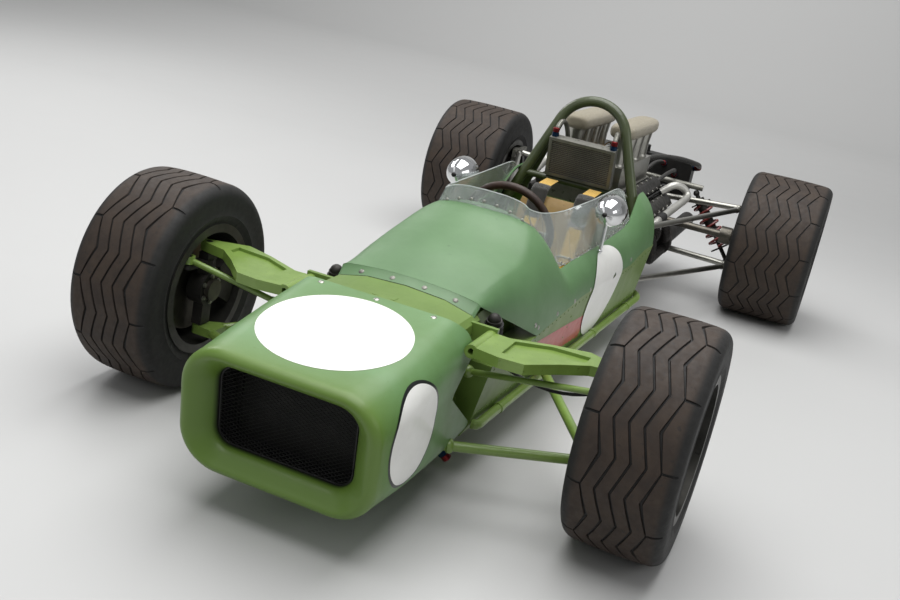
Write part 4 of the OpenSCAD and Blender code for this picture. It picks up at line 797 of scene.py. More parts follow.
def addIntakeMesh(s):
    lean = math.atan(noseSkin["lean"] / (noseSkin["high"] - noseSkin["low"]))
    origin = np.array([lipAt(noseSkin, s["mid"]) - s["depth"], 0, s["mid"]])
    upward = np.array([math.sin(lean), 0, math.cos(lean)])
    ahead = np.array([math.cos(lean), 0, -math.sin(lean)])

    def place(y, w, d=0.0):
        y, w = np.asarray(y, float), np.asarray(w, float)
        return at(origin + y[..., None] * np.array([0, 1.0, 0]) + w[..., None] * upward + d * ahead)

    wires = []
    reach = math.hypot(s["half"], s["rise"])
    along = np.linspace(-reach, reach, s["steps"])
    for sign in (1, -1):
        a = math.radians(s["slant"]) * sign
        for k in np.arange(-reach, reach, s["pitch"]):
            y = along * math.cos(a) - k * math.sin(a)
            w = along * math.sin(a) + k * math.cos(a)
            # inside test of the rounded opening
            dy = np.maximum(np.abs(y) - (s["half"] - s["corner"]), 0)
            dw = np.maximum(np.abs(w) - (s["rise"] - s["corner"]), 0)
            good = np.where(np.hypot(dy, dw) < s["corner"])[0]
            if len(good) < 2:
                continue
            ends = good[[0, -1]]
            wires.append(tube(place(y[ends], w[ends], s["apart"] * sign), s["wire"], 4))
    edge = roundedRing(s["half"], -s["rise"], s["rise"], s["corner"])
    loop = place(edge[:, 0], edge[:, 1])
    wires.append(tube(np.vstack([loop, loop[:2]]), s["edge"], 6))
    piece = addPiece("intakeMesh", *joined(wires), mats["meshMetal"])
    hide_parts("grille_mesh")


addIntakeMesh(intakeMesh)


# Cowl: the solid's own sections drawn finer
cowlSkin = {
    # aft, half width and height of the low edge, half width and height of the upper edge, crown
    "front": [(35, 194, 457, 160, 468, 478), (100, 210, 428, 170, 479, 493), (200, 235, 385, 180, 496, 520)],
    # aft, half width and height of the upper edge, crown: the low edge follows the tub's side and the seam
    "body": [(355, 186, 520, 556), (505, 145, 574, 602), (560, 182, 516, 602), (634, 216, 443, 602),
             (735, 227, 446, 602), (1000, 242, 452, 602), (1160, 247, 458, 602), (1300, 250, 464, 602),
             (1380, 249, 482, 602), (1470, 240, 534, 602), (1520, 234, 550, 602), (1588, 233, 552, 602)],
    "seam": [(355, 316), (505, 328), (735, 347), (1000, 346), (1300, 341), (1470, 366), (1700, 366)],
    # the tub's half widths at its front and rear, and its length
    "tub": (226.0, 286.0, 1600.0), "flare": 30.0, "gap": 0.3,
    "skin": 5.0, "scuttle": 505.0, "sideSteps": 16, "crownSteps": 14,
    # control points of the side's and the crown's curves, as shares of the way
    "belly": (0.1, 0.72), "brow": 0.55,
}
# Flange from the cowl's front edge down to the front box, the inner walls behind it and the strips up to the cowl
frontFlange = {
    "aft": (35.5, 9.0), "rise": 1.5, "narrow": 0.985, "bow": 0.8, "rows": 6, "thick": 2.0,
    "seal": 0.0016, "sealDrop": (1.0, 0, 1.2),
    "wall": {"x": (-345, -445), "y": (182, 187), "z": (302, 488)},
    "ledge": {"x": (-40, -345), "y": 181.0, "z": 428.0, "steps": 24, "under": 1.0},
}


def cowlRows(s):
    seam = np.array(s["seam"], float)
    rows = [list(r) for r in s["front"]]
    for aft, half, high, crown in s["body"]:
        side = s["tub"][0] + (s["tub"][1] - s["tub"][0]) * aft / s["tub"][2] + s["flare"]
        rows.append([aft, side, np.interp(aft, seam[:, 0], seam[:, 1]) + s["gap"], half, high, crown])
    rows = np.array(rows, float)
    fine = smoothRoute(rows, 6)
    # low edge stays on the straight seam of the tub
    for col in (1, 2):
        fine[:, col] = np.interp(fine[:, 0], rows[:, 0], rows[:, col])
    return fine


def cowlSection(s, row):
    def curve(a, b, c, t):
        return (1 - t) ** 2 * a + 2 * t * (1 - t) * b + t ** 2 * c

    low, edge, crown = row[1:3], row[3:5], np.array([0, row[5]])
    belly = low + (edge - low) * s["belly"]
    brow = np.array([edge[0] * s["brow"], crown[1]])
    t = np.linspace(0, 1, s["sideSteps"] + 1)[:, None]
    w = np.linspace(0, 1, s["crownSteps"] + 1)[1:, None]
    half = np.vstack([curve(low, belly, edge, t), curve(edge, brow, crown, w)])
    return np.vstack([half, half[-2::-1] * [-1, 1]])


def addCowl(s):
    rows = cowlRows(s)
    sections = np.array([cowlSection(s, row) for row in rows])
    step = unit(np.gradient(sections, axis=1))
    out = np.stack([step[:, :, 1], -step[:, :, 0]], 2)
    out[:, [0, -1], 1] = 0
    deep = sections - s["skin"] * out
    back = -rows[:, 0][:, None] * np.ones(sections.shape[1])[None]
    outer = np.concatenate([back[:, :, None], sections], 2)
    inner = np.concatenate([back[:, :, None], deep], 2)
    n = sections.shape[1]
    col = np.arange(n - 1)
    side = (col < s["sideSteps"]) | (col >= n - 1 - s["sideSteps"])
    keep = (rows[:-1, 0] < s["scuttle"] - 0.5)[:, None] | side[None]
    points, faces = sheetSolid(at(outer), at(inner), keep)
    used = sorted({i for f in faces for i in f})
    index = {old: new for new, old in enumerate(used)}
    piece = addPiece("cowlSkin", points[used], [[index[i] for i in f] for f in faces], mats["cowlPaint"])
    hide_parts("cockpit_cowl")
    skins["cockpit_cowl"] = piece
    return sections[0]


def addFrontFlange(s, edge):
    box = np.array(noseSkin["box"], float)
    foot = np.interp(np.abs(edge[:, 0]), box[:, 0], box[:, 1]) + s["rise"]
    low = np.stack([edge[:, 0] * s["narrow"], foot], 1)
    rows = []
    for k in np.linspace(0, 1, s["rows"]):
        x = np.full(len(edge), -s["aft"][0] + (s["aft"][0] - s["aft"][1]) * k)
        rows.append(np.column_stack([x, edge + (low - edge) * k ** s["bow"]]))
    rows = np.array(rows)
    every = np.ones((s["rows"] - 1, len(edge) - 1), bool)
    flange = sheetSolid(at(rows), at(rows - [s["thick"], 0, s["thick"]]), every)
    skins["frontFlange"] = addPiece("frontFlange", *flange, mats["cowlPaint"])
    addPiece("flangeSeal", *tube(at(rows[-1] - s["sealDrop"]), s["seal"], 8), mats["rubber"])
    parts = []
    under = caster(["cockpit_cowl"])
    for _, sign in sides:
        w, d = s["wall"], s["ledge"]
        corner = onSide([[x, y, z] for x in w["x"] for y in w["y"] for z in w["z"]], sign)
        block = [[0, 1, 3, 2], [4, 6, 7, 5], [0, 4, 5, 1], [2, 3, 7, 6], [0, 2, 6, 4], [1, 5, 7, 3]]
        parts.append((at(corner), block))
        # strip from the tub's inner wall up to the underside of the cowl
        low = onSide([(x, d["y"], d["z"]) for x in np.linspace(*d["x"], d["steps"])], sign)
        high = low.copy()
        high[:, 2] = under(at(low), (0, 0, 1))[0][:, 2] * 1000 - d["under"]
        strip = np.stack([low, high])
        inner = strip - [0, s["thick"] * sign, 0]
        parts.append(sheetSolid(at(strip), at(inner), np.ones((1, d["steps"] - 1), bool)))
    addPiece("innerWalls", *joined(parts), mats["nosePaint"])


addFrontFlange(frontFlange, addCowl(cowlSkin))
print("stage body skins done")


def discGrid(rings=14, steps=72):
    rho = np.linspace(0.02, 1, rings)
    a = roundAngles(steps)
    grid = np.stack([rho[:, None] * np.cos(a)[None], rho[:, None] * np.sin(a)[None]], 2)
    return grid.reshape(-1, 2), gridFaces(rings, steps, wrapCols=True) + [list(range(steps))]


# A band along a straight line of points
def bandGrid(line, width, across):
    step = unit(np.gradient(line, axis=0))
    normal = np.stack([-step[:, 1], step[:, 0]], 1)
    offs = np.linspace(-width / 2, width / 2, across + 1)
    grid = line[:, None] + normal[:, None] * offs[None, :, None]
    return grid.reshape(-1, 2), gridFaces(len(line), across + 1)


# Faces of a laid sign look against the direction they were thrown in
def lookOut(mesh, way):
    work = bmesh.new()
    work.from_mesh(mesh)
    loose = [v for v in work.verts if not v.link_faces]
    bmesh.ops.delete(work, geom=loose, context="VERTS")
    wrong = [f for f in work.faces if f.normal.dot(Vector(way)) > 0]
    bmesh.ops.reverse_faces(work, faces=wrong)
    work.to_mesh(mesh)
    work.free()


# A flat sign thrown on solids along a direction, lifted off the surface
def addSign(name, cast, starts, faces, way, mat, lift):
    spots, ways = cast(at(starts), way)
    spots = spots + ways * lift
    keep = np.isfinite(spots).all(1)
    faces = [f for f in faces if keep[f].all()]
    spots[~keep] = spots[keep].mean(0)
    piece = addPiece(name, spots, faces, mat, recalc=False)
    lookOut(piece.data, way)


# Blank signs: a roundel on the nose and on each flank, an edged oval on each side of the nose, a strip on the tub
signs = {
    "nose": {"centre": (355, 0), "radius": 176.0, "from": 900.0},
    # the flank leans: heights above the centre shrink by a share that grows with the height, those below by another
    "flank": {"centre": (-1020, 312), "radius": 170.0, "shrink": (0.2, 0.97)},
    "oval": {"centre": (398, 281), "half": (116, 116), "tilt": -6.0, "edge": 1.03, "field": 0.97},
    "strip": {"from": (-388, 246), "to": (-905, 206), "half": 42.0, "rows": 40, "across": 8},
    "beside": 600.0, "lift": 0.0006, "overRivets": 0.0026, "stripLift": 0.00042,
}


def addSigns(s):
    onNose = caster(["nose_cone"])
    onFlank = caster(["tub", "cockpit_cowl"])
    disc, faces = discGrid()
    u, v = disc.T
    n, f, o, t = s["nose"], s["flank"], s["oval"], s["strip"]
    # right in the nose's sign runs to +Y, up runs aft
    x, y = n["centre"][0] - n["radius"] * v, n["centre"][1] + n["radius"] * u
    spots = np.stack([x, y, np.full(len(u), n["from"])], 1)
    addSign("noseRoundel", onNose, spots, faces, (0, 0, -1), mats["signWhite"], s["lift"])
    flankV = np.where(v > 0, v * (1 - f["shrink"][0] * v), v * f["shrink"][1])
    lean = math.radians(o["tilt"])
    ovalX, ovalZ = o["half"][0] * u, o["half"][1] * v
    turned = np.stack([ovalX * math.cos(lean) - ovalZ * math.sin(lean),
                       ovalX * math.sin(lean) + ovalZ * math.cos(lean)], 1)
    band, bandFaces = bandGrid(np.linspace(t["from"], t["to"], t["rows"]), 2 * t["half"], t["across"])
    for side, sign in sides:
        way, name = (0, -sign, 0), side.title()

        def beside(x, z):
            return np.stack([x, np.full(len(x), sign * s["beside"]), z], 1)

        spots = beside(f["centre"][0] - sign * f["radius"] * u, f["centre"][1] + f["radius"] * flankV)
        addSign("flankRoundel" + name, onFlank, spots, faces, way, mats["signWhite"], s["overRivets"])
        for part, mat, lift in (("edge", "signBlack", s["lift"]), ("field", "signWhite", s["lift"] * 2)):
            spots = beside(*(np.array(o["centre"]) + turned * o[part]).T)
            addSign("oval" + part.title() + name, onNose, spots, faces, way, mats[mat], lift)
        addSign("redStrip" + name, onFlank, beside(*band.T), bandFaces, way, mats["signRed"], s["stripLift"])


addSigns(signs)
print("stage signs done")


# Heads of rivets, screws and bolts. Domes: turns of the profile, depth of the foot as a share of the height.
# Hexagons: radius and height of the washer, height of the sides, radius of the top, as shares, and the washer's foot
heads = {
    "domeTurns": (0, 30, 60, 84), "domeFoot": 0.4,
    "washer": (1.25, 0.22), "sides": 0.9, "top": 0.85, "washerFoot": -0.0004,
}


# A low dome on each spot, turned to the surface
def domes(spots, ways, radius, height, steps=8):
    profile = [(radius, -height * heads["domeFoot"])]
    profile += [(radius * math.cos(a), height * math.sin(a)) for a in np.radians(heads["domeTurns"])]
    return joined([lathe(profile, p, n, steps) for p, n in zip(spots, ways)])


# Hexagon heads with a washer, standing on each spot
def hexHeads(spots, ways, radius, height):
    washer, edge = radius * heads["washer"][0], height * heads["washer"][1]
    profile = [(washer, heads["washerFoot"]), (washer, edge), (radius, edge), (radius, height * heads["sides"]),
               (radius * heads["top"], height)]
    return joined([lathe(profile, p, n, 6) for p, n in zip(spots, ways)])


# Points every so often along a line of corners
def spaced(corners, pitch):
    corners = np.asarray(corners, float)
    length = np.concatenate([[0], np.cumsum(np.linalg.norm(np.diff(corners, axis=0), axis=1))])
    marks = np.linspace(0, length[-1], max(2, int(length[-1] / pitch) + 1))
    return np.stack([np.interp(marks, length, corners[:, k]) for k in range(3)], 1)


# Lines of rivets on the tub's sides, in millimetres aft and up, and screws along the cowl's and the nose's edges
fastening = {
    "rows": [[(-60, 300), (-700, 330)], [(-700, 330), (-1300, 324)], [(-1300, 324), (-1590, 350)],
             [(-60, 172), (-1590, 172)], [(-330, 300), (-330, 180)], [(-700, 325), (-700, 180)],
             [(-1180, 320), (-1180, 180)], [(-1575, 345), (-1575, 180)], [(-360, 300), (-360, 180)]],
    "pitch": 34.0, "rivet": (0.0036, 0.0017),
    "cowlRows": [[(-75, 430), (-340, 350)], [(-360, 340), (-1300, 362)]],
    "cowlPitch": 152.0, "screw": (0.0075, 0.0022),
    "noseEdge": [(160, -150), (160, 0), (160, 150)],
    "flange": [(-21, -132), (-21, -45), (-21, 45), (-21, 132)],
    "beside": 700.0, "above": 800.0,
}


def addFastening(s):
    # name, surface, lines, pitch, size, steps, material
    rows = (
        ("tubRivets", caster(["tub"]), s["rows"], s["pitch"], s["rivet"], 8, "tubPaint"),
        ("cowlScrews", caster(["cockpit_cowl"]), s["cowlRows"], s["cowlPitch"], s["screw"], 12, "steel"),
    )
    for side, sign in sides:
        for name, cast, lines, pitch, size, steps, mat in rows:
            starts = [spaced([(x, sign * s["beside"], z) for x, z in line], pitch) for line in lines]
            spots, ways = struck(cast, at(np.vstack(starts)), (0, -sign, 0))
            addPiece(name + side.title(), *domes(spots, ways, *size, steps), mats[mat])
    edges = (
        ("noseScrews", "nose_cone", s["noseEdge"], "steel"),
        ("flangeScrews", "frontFlange", s["flange"], "castMetal"),
    )
    for name, solid, places, mat in edges:
        spots, ways = struck(caster([solid]), at([(x, y, s["above"]) for x, y in places]), (0, 0, -1))
        addPiece(name, *domes(spots, ways, *s["screw"], 12), mats[mat])


addFastening(fastening)
print("stage rivets and screws done")

# Seat: one stitched pad that fills the solid's space, crowned, with sewn channels
seatPad = {
    "face": [(-892, 150), (-990, 149), (-1090, 148), (-1150, 162), (-1195, 205), (-1262, 351), (-1326, 494)],
    "back": [(-894, 114), (-990, 114), (-1100, 114), (-1196, 122), (-1232, 205), (-1300, 351), (-1364, 490)],
    "half": 148.0, "crown": 7.0, "steps": 64,
    # share of the length at either end where it draws in, and the width and thickness it keeps there
    "endShare": 0.06, "endKeeps": (0.94, 0.45),
    # sewn channels along the pad with their width and depth, and across it with their count, sharpness and depth
    "channels": (-74, 0, 74), "channel": (9.0, 5.0), "quilt": (8, 0.18, 2.6),
}


def addSeat(s):
    face = smoothRoute([(x, 0, z) for x, z in s["face"]], 9)
    back = smoothRoute([(x, 0, z) for x, z in s["back"]], 9)
    # section: y = half |cos a|^0.3, share of the thickness 0.5 + 0.5 |sin a|^0.45, both with their signs
    a = roundAngles(s["steps"])
    spread = signedPower(np.cos(a), 0.3)
    share = 0.5 + 0.5 * signedPower(np.sin(a), 0.45)
    along = np.linspace(0, 1, len(face))
    ends = np.clip(np.minimum(along, 1 - along) / s["endShare"], 0, 1) ** 0.5
    wide, deep = (k + (1 - k) * ends[:, None] for k in s["endKeeps"])
    y = s["half"] * spread[None] * wide
    gap = face - back
    thick = np.linalg.norm(gap, axis=1)
    out = gap / thick[:, None]
    dip = sum(np.exp(-((y - c) / s["channel"][0]) ** 2) for c in s["channels"]) * s["channel"][1]
    count, sharp, depth = s["quilt"]
    quilt = depth * np.exp(-(np.sin(along * math.pi * count) / sharp) ** 2)[:, None]
    onFace = np.clip(share[None] * 2 - 1, 0, 1)
    lift = (s["crown"] * (1 - (y / s["half"]) ** 2) - dip - quilt) * onFace
    mid = 0.5 + (share[None] - 0.5) * deep
    level = mid * thick[:, None] + lift - s["crown"] * onFace
    points = back[:, None] + out[:, None] * level[:, :, None]
    points[:, :, 1] = y
    piece = addPiece("seatPad", at(points.reshape(-1, 3)), ringFaces(len(face), s["steps"]), mats["seatHide"])
    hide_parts("seat")


addSeat(seatPad)

# Shoulder straps and their pads: flat webbing along the padding, pads round its upper part
belts = {
    "line": [(-1160, 176), (-1184, 202), (-1206, 232), (-1262, 357), (-1322, 494), (-1336, 514), (-1370, 523),
             (-1468, 530)],
    "places": (84, -84), "half": 24.0, "thick": 1.6, "off": 2.2,
    # section of the webbing, in shares of its half width and thickness: a thin rounded bar with raised selvedges
    "across": (-1, -0.9, -0.6, 0.6, 0.9, 1, 1, 0.9, 0.6, -0.6, -0.9, -1),
    "height": (0.2, 1.25, 1, 1, 1.25, 0.2, -0.2, -1.25, -1, -1, -1.25, -0.2),
    "buckle": {"share": 0.3, "half": (29.0, 11.0), "off": 5.5, "wire": 0.0034},
    "padHalf": 31.0, "padThick": (9.0, 1.6), "padSpan": (0.5, 0.82), "padSteps": 32,
    # thickness and width that a pad keeps at its ends
    "endKeeps": (0.1, 0.9),
}


def addBelts(s):
    line = smoothRoute([(x, 0, z) for x, z in s["line"]], 8)
    heading = unit(np.gradient(line, axis=0))
    above = np.stack([heading[:, 2], 0 * heading[:, 0], -heading[:, 0]], 1)
    share = np.concatenate([[0], np.cumsum(np.linalg.norm(np.diff(line, axis=0), axis=1))])
    share = share / share[-1]
    straps, buckles = [], []
    b = s["buckle"]
    k = np.argmin(np.abs(share - b["share"]))
    for y in s["places"]:
        u, w = np.array(s["across"]) * s["half"], np.array(s["height"]) * s["thick"]
        ring = line[:, None] + above[:, None] * (w[None, :, None] + s["off"])
        ring[:, :, 1] = y + u[None]
        straps.append((at(ring.reshape(-1, 3)), ringFaces(len(line), len(u))))
        spot = line[k] + above[k] * b["off"] + [0, y, 0]
        corner = [spot + heading[k] * b["half"][1] * v + [0, b["half"][0] * h, 0]
                  for h, v in ((-1, -1), (1, -1), (1, 1), (-1, 1), (-1, -1))]
        buckles.append(tube(at(smoothRoute(corner, 5)), b["wire"], 8))
    strapPiece = addPiece("harnessStraps", *joined(straps), mats["webbing"])
    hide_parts("harness")
    addPiece("harnessBuckles", *joined(buckles), mats["steel"])
    pick = (share > s["padSpan"][0]) & (share < s["padSpan"][1])
    part, up = line[pick], above[pick]
    along = np.linspace(0, 1, len(part))
    # pad: y = half |cos a|^0.5, height |sin a|^0.7, both with their signs, drawn in at its ends
    thin, narrow = s["endKeeps"]
    ends = thin + (1 - thin) * (1 - np.abs(2 * along - 1) ** 6) ** 0.5
    a = roundAngles(s["padSteps"])
    u = signedPower(np.cos(a), 0.5) * s["padHalf"]
    w = signedPower(np.sin(a), 0.7)
    level = np.where(w > 0, w * s["padThick"][0], w * s["padThick"][1])
    for name, y in zip(("Left", "Right"), s["places"]):
        rows = part[:, None] + up[:, None] * (s["off"] + level[None] * ends[:, None])[:, :, None]
        rows[:, :, 1] = y + u[None] * (narrow + (1 - narrow) * ends[:, None])
        pad = addPiece("shoulderPad" + name, at(rows.reshape(-1, 3)), ringFaces(len(part), len(a)), mats["padCloth"])


addBelts(belts)
print("stage seat and harness done")

# Steering wheel: stitched grip, drilled spokes, hub with bolts and the column
helm = {
    "centre": (-760, 0, 492), "tilt": 15.0, "ring": 137.0, "grip": 13.0, "gripSteps": (144, 20), "finger": (36, 0.5),
    "stitches": 96, "stitch": {"turn": 0.012, "half": 1.6, "under": 0.2, "radius": 0.0008},
    # spokes: turns, reach from the hub to the ring, holes with their radii, half widths at both ends, half thickness
    "spokes": (0, -90, 180), "reach": (28.0, 131.0), "steps": 25, "holes": [(58.0, 8.0), (82.0, 7.0), (104.0, 6.0)],
    "bar": (13.0, 11.0), "barThick": 1.8,
    "hub": [(0.004, 0.012), (0.022, 0.012), (0.027, 0.009), (0.034, 0.007), (0.034, -0.012), (0.03, -0.014),
            (0.011, -0.014), (0.011, -0.3), (0.004, -0.3)],
    "bolts": {"count": 6, "ring": 26.0, "out": 8.6, "size": (0.0042, 0.005)},
}


def addHelm(s):
    tilt = math.radians(s["tilt"])
    axis = np.array([-math.cos(tilt), 0, math.sin(tilt)])
    up = np.array([math.sin(tilt), 0, math.cos(tilt)])
    centre = np.array(s["centre"], float)

    # u to the left, v up in the wheel's plane, w towards the driver
    def place(u, v, w):
        u, v, w = (np.asarray(k, float)[..., None] for k in np.broadcast_arrays(u, v, w))
        return at(centre + u * np.array([0.0, 1.0, 0.0]) + v * up + w * axis)

    # grip: a ring whose inner side has finger waves
    a, b = (roundAngles(n) for n in s["gripSteps"])
    waves, deep = s["finger"]
    r = s["grip"] + deep * np.cos(waves * a)[:, None] * np.clip(-np.cos(b), 0, 1)[None] - deep
    rho = s["ring"] + r * np.cos(b)[None]
    points = place(rho * np.cos(a)[:, None], rho * np.sin(a)[:, None], r * np.sin(b)[None])
    faces = gridFaces(*s["gripSteps"], True, True)
    grip = addPiece("wheelGrip", points.reshape(-1, 3), faces, mats["leather"], "steering")
    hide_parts("steering_wheel")
    stitches = []
    q = s["stitch"]
    inner = s["ring"] - s["grip"] - q["under"]
    for t in roundAngles(s["stitches"]):
        ends = t + np.array([-1, 1]) * q["turn"]
        line = place(inner * np.cos(ends), inner * np.sin(ends), np.array([-1, 1]) * q["half"])
        stitches.append(tube(line, q["radius"], 5))
    addPiece("wheelStitches", *joined(stitches), mats["seatHide"], "steering")
    # spokes: either half of a flat bar, from the edge of its holes to its own edge
    spokes = []
    rim = np.linspace(*s["reach"], s["steps"])
    low = np.zeros(len(rim))
    for h, size in s["holes"]:
        low = np.maximum(low, np.sqrt(np.clip(size ** 2 - (rim - h) ** 2, 0, None)))
    width = np.interp(rim, s["reach"], s["bar"])
    for turn in np.radians(s["spokes"]):
        for edge in (1, -1):
            lines = [(low, -1), (width, -1), (width, 1), (low, 1)]
            ring = [place(rim * math.cos(turn) - edge * line * math.sin(turn),
                          rim * math.sin(turn) + edge * line * math.cos(turn), face * s["barThick"])
                    for line, face in lines]
            spokes.append((np.stack(ring, 1).reshape(-1, 3), ringFaces(len(rim), len(lines))))
    addPiece("wheelSpokes", *joined(spokes), mats["steel"], "steering", smooth=False)
    addPiece("wheelHub", *lathe(s["hub"], at(centre), axis, 40), mats["blackMetal"], "steering")
    m = s["bolts"]
    turns = roundAngles(m["count"])
    spots = place(m["ring"] * np.cos(turns), m["ring"] * np.sin(turns), m["out"])
    bolts = hexHeads(spots, [axis] * m["count"], *m["size"])
    addPiece("wheelBolts", *bolts, mats["steel"], "steering", smooth=False)


addHelm(helm)

# Dials on the dash: bezel, face, ticks and needle
dials = {
    "aft": -510.2, "places": [(-78, 522, 30), (0, 534, 40), (78, 522, 30)],
    # profiles: share of the dial's radius, height in metres
    "bezel": [(0.86, -0.002), (1, -0.002), (1, 0.003), (0.95, 0.005), (0.88, 0.0035), (0.86, 0.001)],
    "face": (0.87, 0.0012, -0.001), "middle": 0.001,
    # ticks: count, first and last turn, inner ends of the long and the short ones, outer end, height, radius
    "ticks": (13, -130, 130), "long": 0.7, "short": 0.76, "end": 0.83, "rise": 0.0018, "tick": 0.0006,
    "needle": {"turn": -70.0, "perMm": 0.4, "tail": -0.15, "tip": 0.68, "rise": 0.003, "radius": 0.0008},
}


def addDials(s):
    bezels, faces, marks = [], [], []
    axis = np.array([-1.0, 0, 0])
    for y, z, r in s["places"]:
        spot = at((s["aft"], y, z))
        m = r / 1000

        def mark(turn, start, end, rise, radius, steps):
            a = math.radians(turn)
            way = np.array([0, -math.sin(a), math.cos(a)]) * m
            return tube([spot + axis * rise + way * start, spot + axis * rise + way * end], radius, steps)

        bezels.append(lathe([(m * k, h) for k, h in s["bezel"]], spot, axis, 40))
        wide, top, foot = s["face"]
        disc = [(s["middle"], top), (m * wide, top), (m * wide, foot), (s["middle"], foot)]
        faces.append(lathe(disc, spot, axis, 40))
        count, first, last = s["ticks"]
        for k, turn in enumerate(np.linspace(first, last, count)):
            start = s["long"] if k % 3 == 0 else s["short"]
            marks.append(mark(turn, start, s["end"], s["rise"], s["tick"], 5))
        n = s["needle"]
        marks.append(mark(n["turn"] + n["perMm"] * y, n["tail"], n["tip"], n["rise"], n["radius"], 6))
    addPiece("dialBezels", *joined(bezels), mats["bright"])
    addPiece("dialFaces", *joined(faces), mats["dialFace"])
    addPiece("dialMarks", *joined(marks), mats["signWhite"])


addDials(dials)
print("stage cockpit done")


# Rivets along the screen's foot, and a pale bead along its upper edge that stands for the light the acrylic edge
# catches: a painted highlight
screenEdge = {
    # aft and height of the foot on either side, and y of the rivets at the front, with the height of their arch
    "foot": [(560, 516), (634, 443), (735, 446), (1000, 452), (1160, 458), (1300, 464), (1370, 478)],
    "rise": 9.0, "pitch": 62.0, "beside": 500.0,
    "front": (-118, -80, -40, 0, 40, 80, 118), "arch": (612.0, 26.0), "ahead": -380.0,
    "rivet": (0.0052, 0.0016),
    "rim": [(492, 0, 644), (494, 30, 643), (498, 60, 641), (504, 88, 636), (511, 112, 628), (512, 130, 618),
            (560, 151, 606), (634, 169, 600), (735, 179, 596), (1000, 191, 593), (1160, 195, 594), (1300, 199, 592),
            (1380, 207, 570)],
    "bead": 0.0016,
}


def addScreenEdge(s):
    onScreen = caster(["windscreen"])
    found = []
    for _, sign in sides:
        line = spaced([(-x, sign * s["beside"], z + s["rise"]) for x, z in s["foot"]], s["pitch"])
        found.append(struck(onScreen, at(line), (0, -sign, 0)))
    high, drop = s["arch"]
    crown = [(s["ahead"], y, high - drop * (y / s["front"][-1]) ** 2) for y in s["front"]]
    found.append(struck(onScreen, at(crown), (-1, 0, 0)))
    spots, ways = (np.vstack(k) for k in zip(*found))
    addPiece("screenRivets", *domes(spots, ways, *s["rivet"], 10), mats["steel"])
    half = np.array(s["rim"], float) * [-1, 1, 1]
    rim = np.vstack([half[::-1], onSide(half[1:], -1)])
    # pale tube along the rim: painted highlight on the screen's edge
    addPiece("screenEdgeGlint", *tube(at(smoothRoute(rim, 5)), s["bead"], 8), mats["bead"])


addScreenEdge(screenEdge)

# Mirrors: a dark bolt at each forward tip
mirrorTips = {
    "spot": (-897.6, 260, 576), "profile": [(0.008, -0.003), (0.008, 0.002), (0.006, 0.005), (0.002, 0.0065)],
}


def addMirrorTips(s):
    tips = [lathe(s["profile"], at(onSide(s["spot"], sign)), (1, 0, 0), 12) for _, sign in sides]
    addPiece("mirrorTips", *joined(tips), mats["blackMetal"])


addMirrorTips(mirrorTips)

# Oil cooler: flat tubes with wavy fins between them in the front recess, and coloured unions on its hoses
cooler = {
    "foot": (-1511.35, 0, 546.15), "lean": 14.0, "front": 17.0, "half": 113.0, "low": 14.0, "high": 136.0,
    "tubes": 18, "tube": 0.0014, "wave": 5.0, "finBack": 0.4, "finGap": 1.6, "fin": 0.0009,
    # unions: radius and height of the hexagon and of the collar, on the cooler's top and on the engine
    "hex": [(0.0095, 0.004), (0.014, 0.004), (0.014, 0.018), (0.0095, 0.02)],
    "collar": [(0.0095, 0.0205), (0.0128, 0.0205), (0.0128, 0.034), (0.0095, 0.037)],
    "top": (0.0, 112.0, 144.0),
    "lowSpot": (-1615.3, 80, 519), "lowWay": (0.02, 0.06, 1), "lowShift": 0.002,
}


def addCooler(s):
    lean = math.radians(s["lean"])

    def place(x, y, z):
        x, y, z = (np.asarray(v, float) for v in np.broadcast_arrays(x, y, z))
        ahead, up = x * math.cos(lean) + z * math.sin(lean), z * math.cos(lean) - x * math.sin(lean)
        return at(np.array(s["foot"]) + np.stack([ahead, y, up], -1))

    levels = np.linspace(s["low"], s["high"], s["tubes"])
    ends = np.array([-s["half"], s["half"]])
    bars = [tube(place(s["front"], ends, z), s["tube"], 6) for z in levels]
    fins = []
    y = np.arange(-s["half"], s["half"], s["wave"])
    for z0, z1 in zip(levels[:-1], levels[1:]):
        z = np.where(np.arange(len(y)) % 2 == 0, z0 + s["finGap"], z1 - s["finGap"])
        fins.append(tube(place(s["front"] - s["finBack"], y, z), s["fin"], 5))
    addPiece("coolerTubes", *joined(bars), mats["darkCast"])
    addPiece("coolerFins", *joined(fins), mats["finMetal"])
    reds, blues = [], []
    for _, sign in sides:
        seats = (
            (place(*onSide(s["top"], sign)), (0, 0, 1), 0.0),
            (at(onSide(s["lowSpot"], sign)), onSide(s["lowWay"], sign), s["lowShift"]),
        )
        for spot, way, shift in seats:
            blues.append(lathe([(r, h - shift) for r, h in s["hex"]], spot, way, 6))
            reds.append(lathe([(r, h - shift) for r, h in s["collar"]], spot, way, 12))
    addPiece("hoseUnionsRed", *joined(reds), mats["fittingRed"], smooth=False)
    addPiece("hoseUnionsBlue", *joined(blues), mats["fittingBlue"], smooth=False)


addCooler(cooler)

